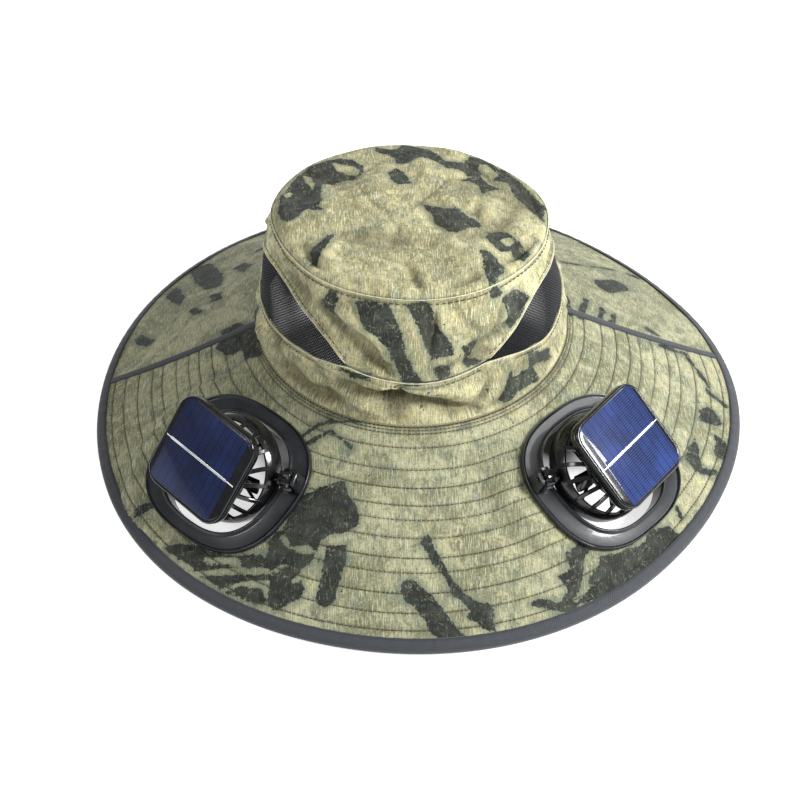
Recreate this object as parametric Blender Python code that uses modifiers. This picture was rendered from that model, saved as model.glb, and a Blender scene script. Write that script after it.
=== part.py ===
"""Wide-brim sun hat with two tilting solar fans set into the brim.

Units are metres. Z is up, the front of the hat faces -Y, and the hat rests on its brim edge at z = 0.
The origin is on the floor under the middle of the brim. Left and right are as seen from the front.
"""
import math

import bmesh
import bpy
import numpy as np
from mathutils import Matrix, Vector

MM = 0.001

# Head opening and crown
CROWN_BASE_HALF_WIDTH = 89.0 * MM
CROWN_BASE_HALF_LENGTH = 100.0 * MM
CROWN_BASE_HEIGHT = 60.5 * MM
CROWN_TOP_HALF_WIDTH = 75.2 * MM
CROWN_TOP_FRONT_REACH = 85.8 * MM
CROWN_TOP_BACK_REACH = 75.5 * MM
CROWN_WALL_HEIGHT_FRONT = 74.7 * MM
CROWN_WALL_HEIGHT_BACK = 69.5 * MM
CROWN_WALL_BULGE = 1.2 * MM
CROWN_SHIFT = -3.7 * MM
CROWN_TOP_RISE = 4.0 * MM
CROWN_CLOTH = 1.2 * MM
WALL_END = 0.965
TOP_SHARES = (0.0, 0.035, 0.25, 0.60, 1.0)
TOP_ROWS = len(TOP_SHARES)
SEAM_ROLL = 1.6 * MM

# Brim
BRIM_HALF_WIDTH = 190.9 * MM
BRIM_HALF_LENGTH = 206.0 * MM
BRIM_SHIFT = 0.5 * MM
BRIM_CLOTH = 1.6 * MM
BINDING_WIDTH = 6.2 * MM
BINDING_OVER = 0.7 * MM
BINDING_FOOT = 2.4 * MM
BINDING_GAP = 0.6 * MM
EDGE_HEIGHT = 2.2 * MM
TAPE_WIDTH = 5.2 * MM
TAPE_THICK = 0.8 * MM
TAPE_START = 0.012
TAPE_END = 0.925

# Soft outline of the brim and of the crown top, as shares of their ovals.
# Columns: angle from the front in degrees, share of the oval
OUTLINE_COLUMNS = ("angle", "share")
BRIM_OUTLINE = (
    (-180, 1.003), (-165, 1.004), (-150, 1.005), (-135, 1.008), (-120, 1.007), (-105, 1.002),
    (-90, 0.999), (-75, 1.004), (-60, 1.014), (-45, 1.018), (-30, 1.013), (-15, 1.006),
    (0, 1.003), (15, 0.999), (30, 0.991), (45, 0.981), (60, 0.981), (75, 0.989),
    (90, 0.993), (105, 0.985), (120, 0.971), (135, 0.969), (150, 0.982), (165, 0.996), (180, 1.003),
)
TOP_OUTLINE = (
    (-180, 0.960), (-165, 0.985), (-150, 0.990), (-135, 1.012), (-120, 1.012), (-105, 1.015),
    (-90, 1.020), (-75, 1.000), (-60, 0.990), (-45, 1.000), (-30, 1.000), (-15, 0.995),
    (0, 1.000), (15, 1.005), (30, 1.005), (45, 1.000), (60, 1.000), (75, 0.985),
    (90, 0.972), (105, 0.945), (120, 0.912), (135, 0.905), (150, 0.925), (165, 0.940), (180, 0.960),
)

# Gap between neighbouring pieces
GAP = 0.3 * MM

# Side seams of the brim: angle from the front, in degrees, at the crown and at the edge
SEAM_ANGLES = {"left": (-87.5, -94.4), "right": (90.8, 97.4)}

# Side vents of the crown. Columns: angle from the front in degrees,
# lower edge and upper edge as shares of the wall height
VENT_COLUMNS = ("angle", "low", "high")
VENT_ROWS = (
    (26.5, 0.419, 0.431),
    (34.0, 0.415, 0.560),
    (42.0, 0.385, 0.650),
    (52.0, 0.350, 0.715),
    (60.0, 0.335, 0.745),
    (72.0, 0.330, 0.735),
    (88.0, 0.340, 0.685),
    (104.0, 0.350, 0.620),
    (122.0, 0.370, 0.540),
    (140.0, 0.410, 0.422),
)
# Angles where the crown pieces have their columns, from the front to the back of one side
CROWN_ANGLES = (
    0.0, 8.8, 17.6, 26.5, 33.0, 40.0, 47.0, 54.0, 61.0, 68.0, 76.0, 84.0,
    92.0, 100.0, 108.0, 116.0, 124.0, 132.0, 140.0, 148.0, 156.0, 164.0, 172.0, 180.0,
)
BAND_SHARE = 0.355

# Soft waves of the cloth, which fade within SEAM_CALM degrees of the side seams of the brim.
# Columns: height in shares of WAVE_HEIGHT, waves round the hat, waves along the panel, phase in turns
WAVE_HEIGHT = 1.6 * MM
WAVE_COLUMNS = ("height", "round", "along", "phase")
WALL_WAVES = (
    (0.55, 5.0, 0.6, 0.10),
    (0.35, 9.0, 1.1, 0.42),
    (0.30, 3.0, 1.6, 0.77),
)
SEAM_CALM = 14.0
BRIM_WAVES = (
    (0.60, 3.0, 0.5, 0.30),
    (0.45, 5.0, 0.9, 0.72),
    (0.30, 8.0, 0.7, 0.15),
)
TOP_WAVES = (
    (0.90, 2.0, 0.9, 0.15),
    (0.50, 5.0, 1.3, 0.60),
)

# Where the fan rings sit: angle from the front in degrees and share of the way out over the brim
FAN_PLACES = {"left": (-48.9, 0.485), "right": (44.6, 0.490)}
RING_TILT = {"left": -4.5, "right": 0.0}
FLAT_SINK = 1.2 * MM
FLAT_FULL = 1.16
FLAT_END = 1.44

# Fan ring, long axis round the hat
RING_OUTER_LONG = 47.8 * MM
RING_OUTER_SHORT = 41.5 * MM
RING_OPENING_LONG = 34.0 * MM
RING_OPENING_SHORT = 32.6 * MM
RING_ROUNDNESS = 2.6
RING_STEPS = 28
COLLAR_SHARE = 0.17
# Section of the ring. Columns: share from the opening to the outer edge, height in mm over the brim
RING_COLUMNS = ("share", "height")
RING_SECTION = (
    (0.00, -5.0),
    (0.00, 3.4),
    (0.10, 4.2),
    (0.24, 2.8),
    (0.85, 2.2),
    (0.92, 3.5),
    (1.00, 2.4),
    (1.00, 0.4),
    (COLLAR_SHARE, 0.4),
    (COLLAR_SHARE, -1.9),
    (0.50, -1.9),
    (0.50, -3.3),
    (COLLAR_SHARE, -3.3),
    (COLLAR_SHARE, -5.0),
)

# Arm hinge: place of the knob over the ring, seen in the ring's own axes (along, outward, up)
HINGE_PLACE = (-39.4 * MM, -14.7 * MM, 9.5 * MM)
FAN_CENTRE = (-3.6 * MM, -1.9 * MM, 7.5 * MM)
FAN_LEAN = {"left": 27.5, "right": 14.5}
PIN_RADIUS = 1.5 * MM
KNOB_RADIUS = 6.0 * MM
KNOB_ROOT = 5.0 * MM
KNOB_WIDTH = 5.6 * MM
KNOB_TEETH = 9
EAR_THICK = 2.2 * MM
EAR_WIDTH = 8.0 * MM
EAR_OVER_PIN = 3.2 * MM
EAR_FOOT = 2.2 * MM
ARM_RADIUS = 2.4 * MM

# Fan cage, turned about its own axis. Columns: radius and height in mm
CAGE_RADIUS = 29.8 * MM
CAGE_STEPS = 36
CAGE_BARS = 18
CAGE_BAR_WIDTH = 2.5 * MM
CAGE_COLUMNS = ("radius", "height")
CAGE_SECTION = (
    (0.0, 15.2),
    (16.5, 15.2),
    (22.0, 12.6),
    (26.6, 7.4),
    (29.3, 1.2),
    (29.8, -5.6),
    (28.2, -5.6),
    (27.6, 0.6),
    (24.6, 7.4),
    (16.6, 13.4),
    (0.0, 13.4),
)
WINDOW_INNER = 17.2 * MM
WINDOW_OUTER = 27.7 * MM
WINDOW_LOW = 1.2 * MM
WINDOW_HIGH = 15.4 * MM

# Solar panel on top of the cage
PANEL_SIDE = 54.0 * MM
PANEL_CORNER = 10.0 * MM
PANEL_THICK = 6.6 * MM
PANEL_TOP = 25.8 * MM
PANEL_SHIFT = (2.0 * MM, -5.2 * MM)
PANEL_TURN = -25.0
PANEL_EDGE_ROUND = 1.4 * MM
NECK_RADIUS = 8.0 * MM
CELL_LENGTH = 44.5 * MM
CELL_WIDTH = 49.5 * MM
CELL_DEPTH = 1.3 * MM
CELL_THICK = 0.6 * MM
BUS_LENGTH = 43.0 * MM
BUS_WIDTH = 1.5 * MM
BUS_THICK = 0.3 * MM

# Motor, rotor and lower guard
MOTOR_RADIUS = 7.6 * MM
MOTOR_TOP = 13.1 * MM
MOTOR_BOTTOM = 6.6 * MM
SHAFT_RADIUS = 1.0 * MM
SHAFT_END = -2.6 * MM
HUB_RADIUS = 7.0 * MM
HUB_TOP = 6.0 * MM
HUB_BOTTOM = -2.6 * MM
BLADE_COUNT = 5
BLADE_REACH = 22.5 * MM
BLADE_CHORD = 10.0 * MM
BLADE_THICK = 1.0 * MM
BLADE_PITCH = 28.0
GUARD_TOP = -3.8 * MM
GUARD_THICK = 1.4 * MM
GUARD_RING = 1.6 * MM
GUARD_HUB = 6.0 * MM
GUARD_SPOKES = 4
GUARD_SPOKE_WIDTH = 1.6 * MM
GUARD_SPOKE_INSET = 0.2 * MM

# Collections and colours
COLOURS = {
    "camo_cloth": (0.34, 0.33, 0.21, 1.0),
    "mesh_black": (0.012, 0.013, 0.018, 1.0),
    "slate_tape": (0.055, 0.062, 0.075, 1.0),
    "gloss_plastic": (0.012, 0.014, 0.020, 1.0),
    "solar_cell": (0.012, 0.025, 0.120, 1.0),
    "bus_silver": (0.62, 0.63, 0.60, 1.0),
    "motor_metal": (0.42, 0.42, 0.43, 1.0),
}


def clear_scene():
    """Take away whatever the scene starts with."""
    for old in list(bpy.data.objects):
        bpy.data.objects.remove(old, do_unlink=True)


def new_collection(name):
    """Make a collection under the scene."""
    group = bpy.data.collections.new(name)
    bpy.context.scene.collection.children.link(group)
    return group


clear_scene()
PARTS = new_collection("solar_fan_hat")
CUTTERS = new_collection("cutters")


def material(name):
    """Return the named material, made once."""
    found = bpy.data.materials.get(name)
    if found:
        return found
    made = bpy.data.materials.new(name)
    made.use_nodes = True
    shader = made.node_tree.nodes["Principled BSDF"]
    shader.inputs["Base Color"].default_value = COLOURS[name]
    shader.inputs["Roughness"].default_value = 0.25 if name in ("gloss_plastic", "solar_cell") else 0.8
    made.diffuse_color = COLOURS[name]
    return made


def add_object(name, mesh, group):
    """Link a mesh as an object."""
    thing = bpy.data.objects.new(name, mesh)
    group.objects.link(thing)
    return thing


def baked_mesh(thing):
    """Return the mesh of an object with its modifiers applied, and remove the object."""
    bpy.context.view_layer.update()
    graph = bpy.context.evaluated_depsgraph_get()
    mesh = bpy.data.meshes.new_from_object(thing.evaluated_get(graph))
    mesh.transform(thing.matrix_world)
    bpy.data.objects.remove(thing, do_unlink=True)
    return mesh


def clean_mesh(mesh, distance=1e-6):
    """Merge doubled points and turn the faces outward."""
    bm = bmesh.new()
    bm.from_mesh(mesh)
    bmesh.ops.remove_doubles(bm, verts=bm.verts, dist=distance)
    bmesh.ops.recalc_face_normals(bm, faces=bm.faces)
    bm.to_mesh(mesh)
    bm.free()
    return mesh


def turn_by(angle_deg, axis):
    """Rotation matrix about an axis."""
    return Matrix.Rotation(math.radians(angle_deg), 4, Vector(axis))


# Crown and brim surfaces. Angle 0 is the front and grows towards +X


def outline_share(rows, angle):
    """Share of the oval at an angle, with a smooth run between the rows."""
    turn = math.degrees(math.remainder(angle, math.tau))
    angles = [row[OUTLINE_COLUMNS.index("angle")] for row in rows]
    shares = [row[OUTLINE_COLUMNS.index("share")] for row in rows]
    index = min(int((turn - angles[0]) / (angles[1] - angles[0])), len(rows) - 2)
    t = (turn - angles[index]) / (angles[index + 1] - angles[index])
    before = shares[index - 1] if index > 0 else shares[-2]
    after = shares[index + 2] if index + 2 < len(rows) else shares[1]
    near = shares[index]
    far = shares[index + 1]
    bend = (2 * before - 5 * near + 4 * far - after) * t * t
    twist = (3 * near - before - 3 * far + after) * t ** 3
    return near + ((far - before) * t + bend + twist) / 2


def crown_base(angle):
    """Point of the line where crown and brim meet."""
    x = CROWN_SHIFT + CROWN_BASE_HALF_WIDTH * math.sin(angle)
    y = -CROWN_BASE_HALF_LENGTH * math.cos(angle)
    return np.array([x, y, CROWN_BASE_HEIGHT])


def crown_seam(angle):
    """Point of the seam between crown wall and crown top."""
    reach = CROWN_TOP_FRONT_REACH if math.cos(angle) > 0 else CROWN_TOP_BACK_REACH
    share = outline_share(TOP_OUTLINE, angle)
    x = CROWN_SHIFT + CROWN_TOP_HALF_WIDTH * share * math.sin(angle)
    y = -reach * share * math.cos(angle)
    back = (y + CROWN_TOP_FRONT_REACH) / (CROWN_TOP_FRONT_REACH + CROWN_TOP_BACK_REACH)
    height = CROWN_WALL_HEIGHT_FRONT + (CROWN_WALL_HEIGHT_BACK - CROWN_WALL_HEIGHT_FRONT) * back
    return np.array([x, y, CROWN_BASE_HEIGHT + height])


def wave(rows, angle, along):
    """Height of the soft waves at one point."""
    total = 0.0
    for height, round_count, along_count, phase in rows:
        total += height * math.cos(round_count * angle + math.tau * (along_count * along + phase))
    return total * WAVE_HEIGHT


def outward(angle):
    """Level direction pointing out of the hat."""
    vector = np.array([math.sin(angle) / CROWN_BASE_HALF_WIDTH, -math.cos(angle) / CROWN_BASE_HALF_LENGTH, 0.0])
    return vector / np.linalg.norm(vector)


def wall_point(angle, share):
    """Point of the crown wall, share 0 at the brim and 1 at the top seam."""
    point = crown_base(angle) * (1.0 - share) + crown_seam(angle) * share
    swell = math.sin(math.pi * min(max(share, 0.0), 1.0))
    return point + outward(angle) * (CROWN_WALL_BULGE + wave(WALL_WAVES, angle, share)) * swell


def top_point(angle, share):
    """Point of the crown top, share 0 at the seam and 1 in the middle."""
    seam = crown_seam(angle)
    middle_y = (CROWN_TOP_BACK_REACH - CROWN_TOP_FRONT_REACH) / 2
    middle_z = CROWN_BASE_HEIGHT + (CROWN_WALL_HEIGHT_FRONT + CROWN_WALL_HEIGHT_BACK) / 2
    middle = np.array([CROWN_SHIFT, middle_y, middle_z])
    point = seam + (middle - seam) * share
    rise = CROWN_TOP_RISE * (1.0 - (1.0 - share) ** 2)
    lift = SEAM_ROLL * min(share / 0.06, 1.0)
    point[2] += rise + lift + wave(TOP_WAVES, angle, share) * math.sin(math.pi * share) * (1.0 - share)
    return point


def brim_edge(angle):
    """Outer edge of the brim."""
    share = outline_share(BRIM_OUTLINE, angle)
    x = BRIM_SHIFT + BRIM_HALF_WIDTH * share * math.sin(angle)
    return np.array([x, -BRIM_HALF_LENGTH * share * math.cos(angle), EDGE_HEIGHT])


def brim_cone(angle, share):
    """Point of the brim before it lies flat under the fan rings."""
    start = crown_base(angle)
    return start + (brim_edge(angle) - start) * share


def oval_share(along, across, half_long, half_short):
    """How far out a point lies, 1 on the oval."""
    power = RING_ROUNDNESS
    return ((abs(along) / half_long) ** power + (abs(across) / half_short) ** power) ** (1.0 / power)


def fan_frame(side):
    """Place of a fan ring: middle, direction away from the hinge, outward direction and normal."""
    degrees, share = FAN_PLACES[side]
    angle = math.radians(degrees)
    step = 1e-4
    middle = brim_cone(angle, share)
    out = brim_cone(angle, share + step) - brim_cone(angle, share - step)
    out /= np.linalg.norm(out)
    side_way = brim_cone(angle + step, share) - brim_cone(angle - step, share)
    normal = np.cross(out, side_way)
    normal /= np.linalg.norm(normal)
    along = np.cross(normal, out)
    if side == "left":
        along = -along
    if along[0] * (1 if side == "right" else -1) < 0:
        along = -along
    tilt = math.radians(RING_TILT[side])
    tilted_along = along * math.cos(tilt) - normal * math.sin(tilt)
    tilted_normal = along * math.sin(tilt) + normal * math.cos(tilt)
    return middle - normal * FLAT_SINK, tilted_along, out, tilted_normal


FRAMES = {side: fan_frame(side) for side in FAN_PLACES}


def seam_angle(side, share):
    """Angle of a side seam of the brim."""
    near, far = SEAM_ANGLES[side]
    return math.radians(near + (far - near) * share)


def seam_calm(angle, share):
    """Fade of the waves near the side seams, 0 on a seam and 1 away from it."""
    fade = 1.0
    for side in SEAM_ANGLES:
        off = abs(math.remainder(angle - seam_angle(side, share), math.tau)) / math.radians(SEAM_CALM)
        off = min(max(off - 0.25, 0.0), 1.0)
        fade *= off * off * (3.0 - 2.0 * off)
    return fade


def brim_point(angle, share):
    """Point of the top face of the brim."""
    point = brim_cone(angle, share)
    swell = math.sin(math.pi * min(max(share, 0.0), 1.0)) * seam_calm(angle, share)
    point = point + np.array([0.0, 0.0, 1.0]) * wave(BRIM_WAVES, angle, share) * swell
    for middle, along, out, normal in FRAMES.values():
        offset = point - middle
        if abs(offset @ normal) > 0.05:
            continue
        reach = oval_share(offset @ along, offset @ out, RING_OUTER_LONG, RING_OUTER_SHORT)
        blend = min(max((FLAT_END - reach) / (FLAT_END - FLAT_FULL), 0.0), 1.0)
        blend = blend * blend * (3.0 - 2.0 * blend)
        point = point - normal * (offset @ normal) * blend
    return point


def vent_limits(angle):
    """Lower and upper edge of the vent at an angle, or the band line twice where there is no vent."""
    turn = abs(math.degrees(math.remainder(angle, math.tau)))
    angles = [row[VENT_COLUMNS.index("angle")] for row in VENT_ROWS]
    lows = [row[VENT_COLUMNS.index("low")] for row in VENT_ROWS]
    highs = [row[VENT_COLUMNS.index("high")] for row in VENT_ROWS]
    if turn <= angles[0]:
        level = BAND_SHARE + (lows[0] + 0.01 - BAND_SHARE) * (turn / angles[0]) ** 2
        return level, level
    if turn >= angles[-1]:
        level = BAND_SHARE + (lows[-1] + 0.02 - BAND_SHARE) * ((180.0 - turn) / (180.0 - angles[-1])) ** 2
        return level, level
    return float(np.interp(turn, angles, lows)), float(np.interp(turn, angles, highs))


def share_of_gap():
    """The gap between pieces as a share of the crown wall."""
    return GAP / CROWN_WALL_HEIGHT_FRONT


def grid_mesh(name, columns, rows, place, closed):
    """Make a sheet by moving the points of a flat grid; place takes two shares from 0 to 1."""
    bm = bmesh.new()
    bmesh.ops.create_grid(bm, x_segments=columns, y_segments=rows, size=0.5)
    for vert in bm.verts:
        vert.co = Vector(place(vert.co.x + 0.5, vert.co.y + 0.5))
    if closed:
        bmesh.ops.remove_doubles(bm, verts=bm.verts, dist=2e-6)
    mesh = bpy.data.meshes.new(name)
    bm.to_mesh(mesh)
    bm.free()
    return mesh


def cloth_piece(name, columns, rows, place, thick, slot, closed=False, cutters=()):
    """A sheet with its wall on the inner side, cut by the given cutters."""
    sheet = add_object(name + "_sheet", grid_mesh(name, columns, rows, place, closed), CUTTERS)
    wall = sheet.modifiers.new("wall", "SOLIDIFY")
    wall.thickness = thick
    wall.offset = -1.0
    wall.use_even_offset = True
    for cutter in cutters:
        cut = sheet.modifiers.new("cut", "BOOLEAN")
        cut.operation = "DIFFERENCE"
        cut.solver = "EXACT"
        cut.object = cutter
    mesh = baked_mesh(sheet)
    clean_mesh(mesh)
    mesh.name = name
    piece = add_object(name, mesh, PARTS)
    mesh.materials.clear()
    mesh.materials.append(material(slot))
    mesh.shade_smooth()
    mesh.set_sharp_from_angle(angle=math.radians(40))
    return piece


def oval_point(turn, share):
    """Point of the ring oval, share 0 at the opening and 1 at the outer edge."""
    half_long = RING_OPENING_LONG + (RING_OUTER_LONG - RING_OPENING_LONG) * share
    half_short = RING_OPENING_SHORT + (RING_OUTER_SHORT - RING_OPENING_SHORT) * share
    power = 2.0 / RING_ROUNDNESS
    c = math.cos(turn)
    s = math.sin(turn)
    return half_long * math.copysign(abs(c) ** power, c), half_short * math.copysign(abs(s) ** power, s)


def oval_turn(share):
    """Turn angle that spreads the points evenly round the oval."""
    raw = share * math.tau
    return raw + 0.10 * math.sin(4.0 * raw) * -1.0


def to_world(side):
    """Matrix from the ring's own axes to the hat."""
    middle, along, out, normal = FRAMES[side]
    matrix = Matrix.Identity(4)
    for row in range(3):
        matrix[row][0] = along[row]
        matrix[row][1] = out[row]
        matrix[row][2] = normal[row]
        matrix[row][3] = middle[row]
    return matrix


def arm_axes(origin):
    """Matrix with X along the arm and Z up, in the ring's axes, about a given point."""
    hinge = Vector(HINGE_PLACE)
    centre = Vector(FAN_CENTRE)
    arm = (centre - hinge).normalized()
    up = Vector((0.0, 0.0, 1.0))
    up = (up - arm * up.dot(arm)).normalized()
    across = up.cross(arm).normalized()
    matrix = Matrix.Identity(4)
    for row in range(3):
        matrix[row][0] = arm[row]
        matrix[row][1] = across[row]
        matrix[row][2] = up[row]
        matrix[row][3] = origin[row]
    return matrix


def fan_axes(side):
    """Matrix from the fan's own axes (X along the arm, Z up through the panel) to the ring's axes."""
    return arm_axes(FAN_CENTRE) @ turn_by(-FAN_LEAN[side], (1.0, 0.0, 0.0))


def place_mesh(name, mesh, matrix, pivot, slot, sharp=35.0):
    """Move a mesh into the hat, with the object's origin at the pivot."""
    mesh = mesh.copy()
    mesh.transform(matrix)
    if matrix.determinant() < 0:
        mesh.flip_normals()
    mesh.transform(Matrix.Translation(-pivot))
    mesh.name = name
    piece = add_object(name, mesh, PARTS)
    piece.location = pivot
    mesh.materials.clear()
    mesh.materials.append(material(slot))
    mesh.shade_smooth()
    mesh.set_sharp_from_angle(angle=math.radians(sharp))
    return piece


def closed_grid_mesh(name, columns, rows, place):
    """A ring-shaped body from a grid that closes both ways."""
    mesh = grid_mesh(name, columns, rows, place, True)
    return clean_mesh(mesh)


def cylinder_mesh(name, radius, low, high, steps):
    """Upright cylinder between two heights."""
    bm = bmesh.new()
    bmesh.ops.create_cone(
        bm, cap_ends=True, segments=steps, radius1=radius, radius2=radius, depth=high - low,
        matrix=Matrix.Translation((0.0, 0.0, (low + high) / 2)),
    )
    mesh = bpy.data.meshes.new(name)
    bm.to_mesh(mesh)
    bm.free()
    return mesh


def box_mesh(name, size, middle, turn=None):
    """Box of the given size about a middle point, turned about its own middle."""
    bm = bmesh.new()
    matrix = Matrix.Translation(middle)
    if turn is not None:
        matrix = matrix @ turn
    matrix = matrix @ Matrix.Diagonal((size[0], size[1], size[2], 1.0))
    bmesh.ops.create_cube(bm, size=1.0, matrix=matrix)
    mesh = bpy.data.meshes.new(name)
    bm.to_mesh(mesh)
    bm.free()
    return mesh


def combine(name, first, others, operation):
    """Join or cut a mesh with other meshes one after another."""
    body = add_object(name, first, CUTTERS)
    helpers = []
    for count, other in enumerate(others):
        helper = add_object(f"{name}_tool_{count}", other, CUTTERS)
        helper.hide_render = True
        helper.display_type = "WIRE"
        helpers.append(helper)
        step = body.modifiers.new("step", "BOOLEAN")
        step.operation = operation
        step.solver = "EXACT"
        step.object = helper
    mesh = baked_mesh(body)
    for helper in helpers:
        bpy.data.objects.remove(helper, do_unlink=True)
    return clean_mesh(mesh)


def outline_mesh(name, points, low, high, edge_round=0.0, round_steps=2):
    """Flat outline raised between two heights, with an optional rounded rim."""
    curve = bpy.data.curves.new(name, "CURVE")
    curve.dimensions = "2D"
    curve.fill_mode = "BOTH"
    curve.extrude = (high - low) / 2
    line = curve.splines.new("POLY")
    line.points.add(len(points) - 1)
    for point, place in zip(line.points, points):
        point.co = (place[0], place[1], 0.0, 1.0)
    line.use_cyclic_u = True
    thing = bpy.data.objects.new(name, curve)
    CUTTERS.objects.link(thing)
    thing.location = (0.0, 0.0, (low + high) / 2)
    mesh = baked_mesh(thing)
    bpy.data.curves.remove(curve)
    clean_mesh(mesh)
    if edge_round:
        body = add_object(name, mesh, CUTTERS)
        soften = body.modifiers.new("soften", "BEVEL")
        soften.width = edge_round
        soften.segments = round_steps
        soften.limit_method = "ANGLE"
        soften.angle_limit = math.radians(60)
        mesh = clean_mesh(baked_mesh(body))
    return mesh


def rounded_square(side, corner, steps):
    """Outline of a square with round corners."""
    points = []
    inner = side / 2 - corner
    for quarter in range(4):
        centre_angle = math.pi / 4 + quarter * math.pi / 2
        cx = math.copysign(inner, math.cos(centre_angle))
        cy = math.copysign(inner, math.sin(centre_angle))
        for step in range(steps + 1):
            angle = quarter * math.pi / 2 + step / steps * math.pi / 2
            points.append((cx + corner * math.cos(angle), cy + corner * math.sin(angle)))
    return points


def turned_mesh(name, section, steps):
    """Body turned about Z from a section given in metres."""
    mesh = bpy.data.meshes.new(name)
    points = [(radius, 0.0, height) for radius, height in section]
    edges = [(count, count + 1) for count in range(len(points) - 1)]
    if section[0][0] > 0.0:
        edges.append((len(points) - 1, 0))
    mesh.from_pydata(points, edges, [])
    body = add_object(name, mesh, CUTTERS)
    screw = body.modifiers.new("turn", "SCREW")
    screw.steps = steps
    screw.render_steps = steps
    screw.use_merge_vertices = True
    screw.merge_threshold = 0.00005
    return clean_mesh(baked_mesh(body))


# Fan pieces in their own axes, the same for both sides


def ring_mesh(side):
    """Ring with its opening, collar, groove for the cloth, lips and the two hinge ears."""
    count = len(RING_SECTION)

    def place(u, v):
        share, height = RING_SECTION[round(v * count) % count]
        x, y = oval_point(oval_turn(u), share)
        return x, y, height * MM

    body = closed_grid_mesh("ring", RING_STEPS, count, place)
    axes = arm_axes(HINGE_PLACE)
    drop = HINGE_PLACE[2] - EAR_FOOT
    ears = []
    for sign in (-1, 1):
        offset = sign * (KNOB_WIDTH / 2 + GAP + EAR_THICK / 2)
        middle = (offset, 0.0, (EAR_OVER_PIN - drop) / 2)
        ear = box_mesh("ear", (EAR_THICK, EAR_WIDTH, EAR_OVER_PIN + drop), middle)
        ear.transform(axes)
        ears.append(ear)
    hole = cylinder_mesh("hole", PIN_RADIUS + GAP, -12.0 * MM, 12.0 * MM, 16)
    hole.transform(axes @ turn_by(90.0, (0.0, 1.0, 0.0)))
    body = combine("ring_with_ears", body, ears, "UNION")
    return combine("ring_bored", body, [hole], "DIFFERENCE")


def arm_mesh():
    """Pin, toothed knob and arm, along X with the knob at the hinge."""
    points = []
    for tooth in range(KNOB_TEETH):
        for share, radius in ((0.0, KNOB_ROOT), (0.28, KNOB_RADIUS), (0.62, KNOB_RADIUS), (0.9, KNOB_ROOT)):
            angle = (tooth + share) / KNOB_TEETH * math.tau
            points.append((radius * math.cos(angle), radius * math.sin(angle)))
    knob = outline_mesh("knob", points, -KNOB_WIDTH / 2, KNOB_WIDTH / 2)
    length = (Vector(FAN_CENTRE) - Vector(HINGE_PLACE)).length
    outer_end = KNOB_WIDTH / 2 + EAR_THICK + GAP + 1.0 * MM
    arm_start = KNOB_WIDTH / 2 + 2 * GAP + EAR_THICK
    arm_end = length - CAGE_RADIUS - GAP
    pin = cylinder_mesh("pin", PIN_RADIUS, -outer_end, arm_start + 0.4 * MM, 12)
    arm = cylinder_mesh("arm", ARM_RADIUS, arm_start, arm_end, 12)
    mesh = combine("arm_body", knob, [pin, arm], "UNION")
    mesh.transform(Matrix.Translation((-length, 0.0, 0.0)) @ turn_by(90.0, (0.0, 1.0, 0.0)))
    return mesh


def cage_mesh():
    """Cage shell with a rim, a closed cap and windows between the bars."""
    body = turned_mesh("cage", [(r * MM, z * MM) for r, z in CAGE_SECTION], CAGE_STEPS)
    bm = bmesh.new()
    half_pitch = math.pi / CAGE_BARS
    for bar in range(CAGE_BARS):
        middle = (bar + 0.5) * 2 * half_pitch
        corners = []
        for radius in (WINDOW_INNER, WINDOW_OUTER):
            half = half_pitch - math.asin(CAGE_BAR_WIDTH / 2 / radius)
            for angle in (middle - half, middle + half):
                corners.append((radius * math.cos(angle), radius * math.sin(angle)))
        order = (corners[0], corners[2], corners[3], corners[1])
        low = [bm.verts.new((x, y, WINDOW_LOW)) for x, y in order]
        high = [bm.verts.new((x, y, WINDOW_HIGH)) for x, y in order]
        bm.faces.new(low[::-1])
        bm.faces.new(high)
        for count in range(4):
            after = (count + 1) % 4
            bm.faces.new((low[count], low[after], high[after], high[count]))
    cutter = bpy.data.meshes.new("windows")
    bm.to_mesh(cutter)
    bm.free()
    clean_mesh(cutter)
    return combine("cage_cut", body, [cutter], "DIFFERENCE")


def panel_meshes():
    """Panel housing with its neck and pocket, the cell and the bus bar."""
    outline = rounded_square(PANEL_SIDE, PANEL_CORNER, 4)
    housing = outline_mesh("housing", outline, PANEL_TOP - PANEL_THICK, PANEL_TOP, PANEL_EDGE_ROUND, 2)
    shift = Matrix.Translation((PANEL_SHIFT[0], PANEL_SHIFT[1], 0.0)) @ turn_by(PANEL_TURN, (0.0, 0.0, 1.0))
    pocket_size = (CELL_LENGTH + 2 * GAP, CELL_WIDTH + 2 * GAP, 2 * CELL_DEPTH)
    pocket = box_mesh("pocket", pocket_size, (0.0, 0.0, PANEL_TOP))
    housing = combine("housing_cut", housing, [pocket], "DIFFERENCE")
    housing.transform(shift)
    neck_top = PANEL_TOP - PANEL_THICK + 0.5 * MM
    cap_top = CAGE_SECTION[0][1] * MM
    neck = cylinder_mesh("neck", NECK_RADIUS, cap_top + GAP, neck_top, 16)
    housing = combine("housing_neck", housing, [neck], "UNION")
    floor = PANEL_TOP - CELL_DEPTH
    cell = box_mesh("cell", (CELL_LENGTH, CELL_WIDTH, CELL_THICK), (0.0, 0.0, floor + 0.1 * MM + CELL_THICK / 2 + 0.1 * MM))
    cell.transform(shift)
    bar_low = floor + 0.2 * MM + CELL_THICK + 0.1 * MM
    bar = box_mesh("bar", (BUS_LENGTH, BUS_WIDTH, BUS_THICK), (0.0, 0.0, bar_low + BUS_THICK / 2))
    bar.transform(shift)
    return housing, cell, bar


def motor_mesh():
    """Motor can with its shaft."""
    body = cylinder_mesh("can", MOTOR_RADIUS, MOTOR_BOTTOM, MOTOR_TOP, 16)
    shaft = cylinder_mesh("shaft", SHAFT_RADIUS, SHAFT_END, MOTOR_BOTTOM + 0.5 * MM, 8)
    return combine("motor", body, [shaft], "UNION")


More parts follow.
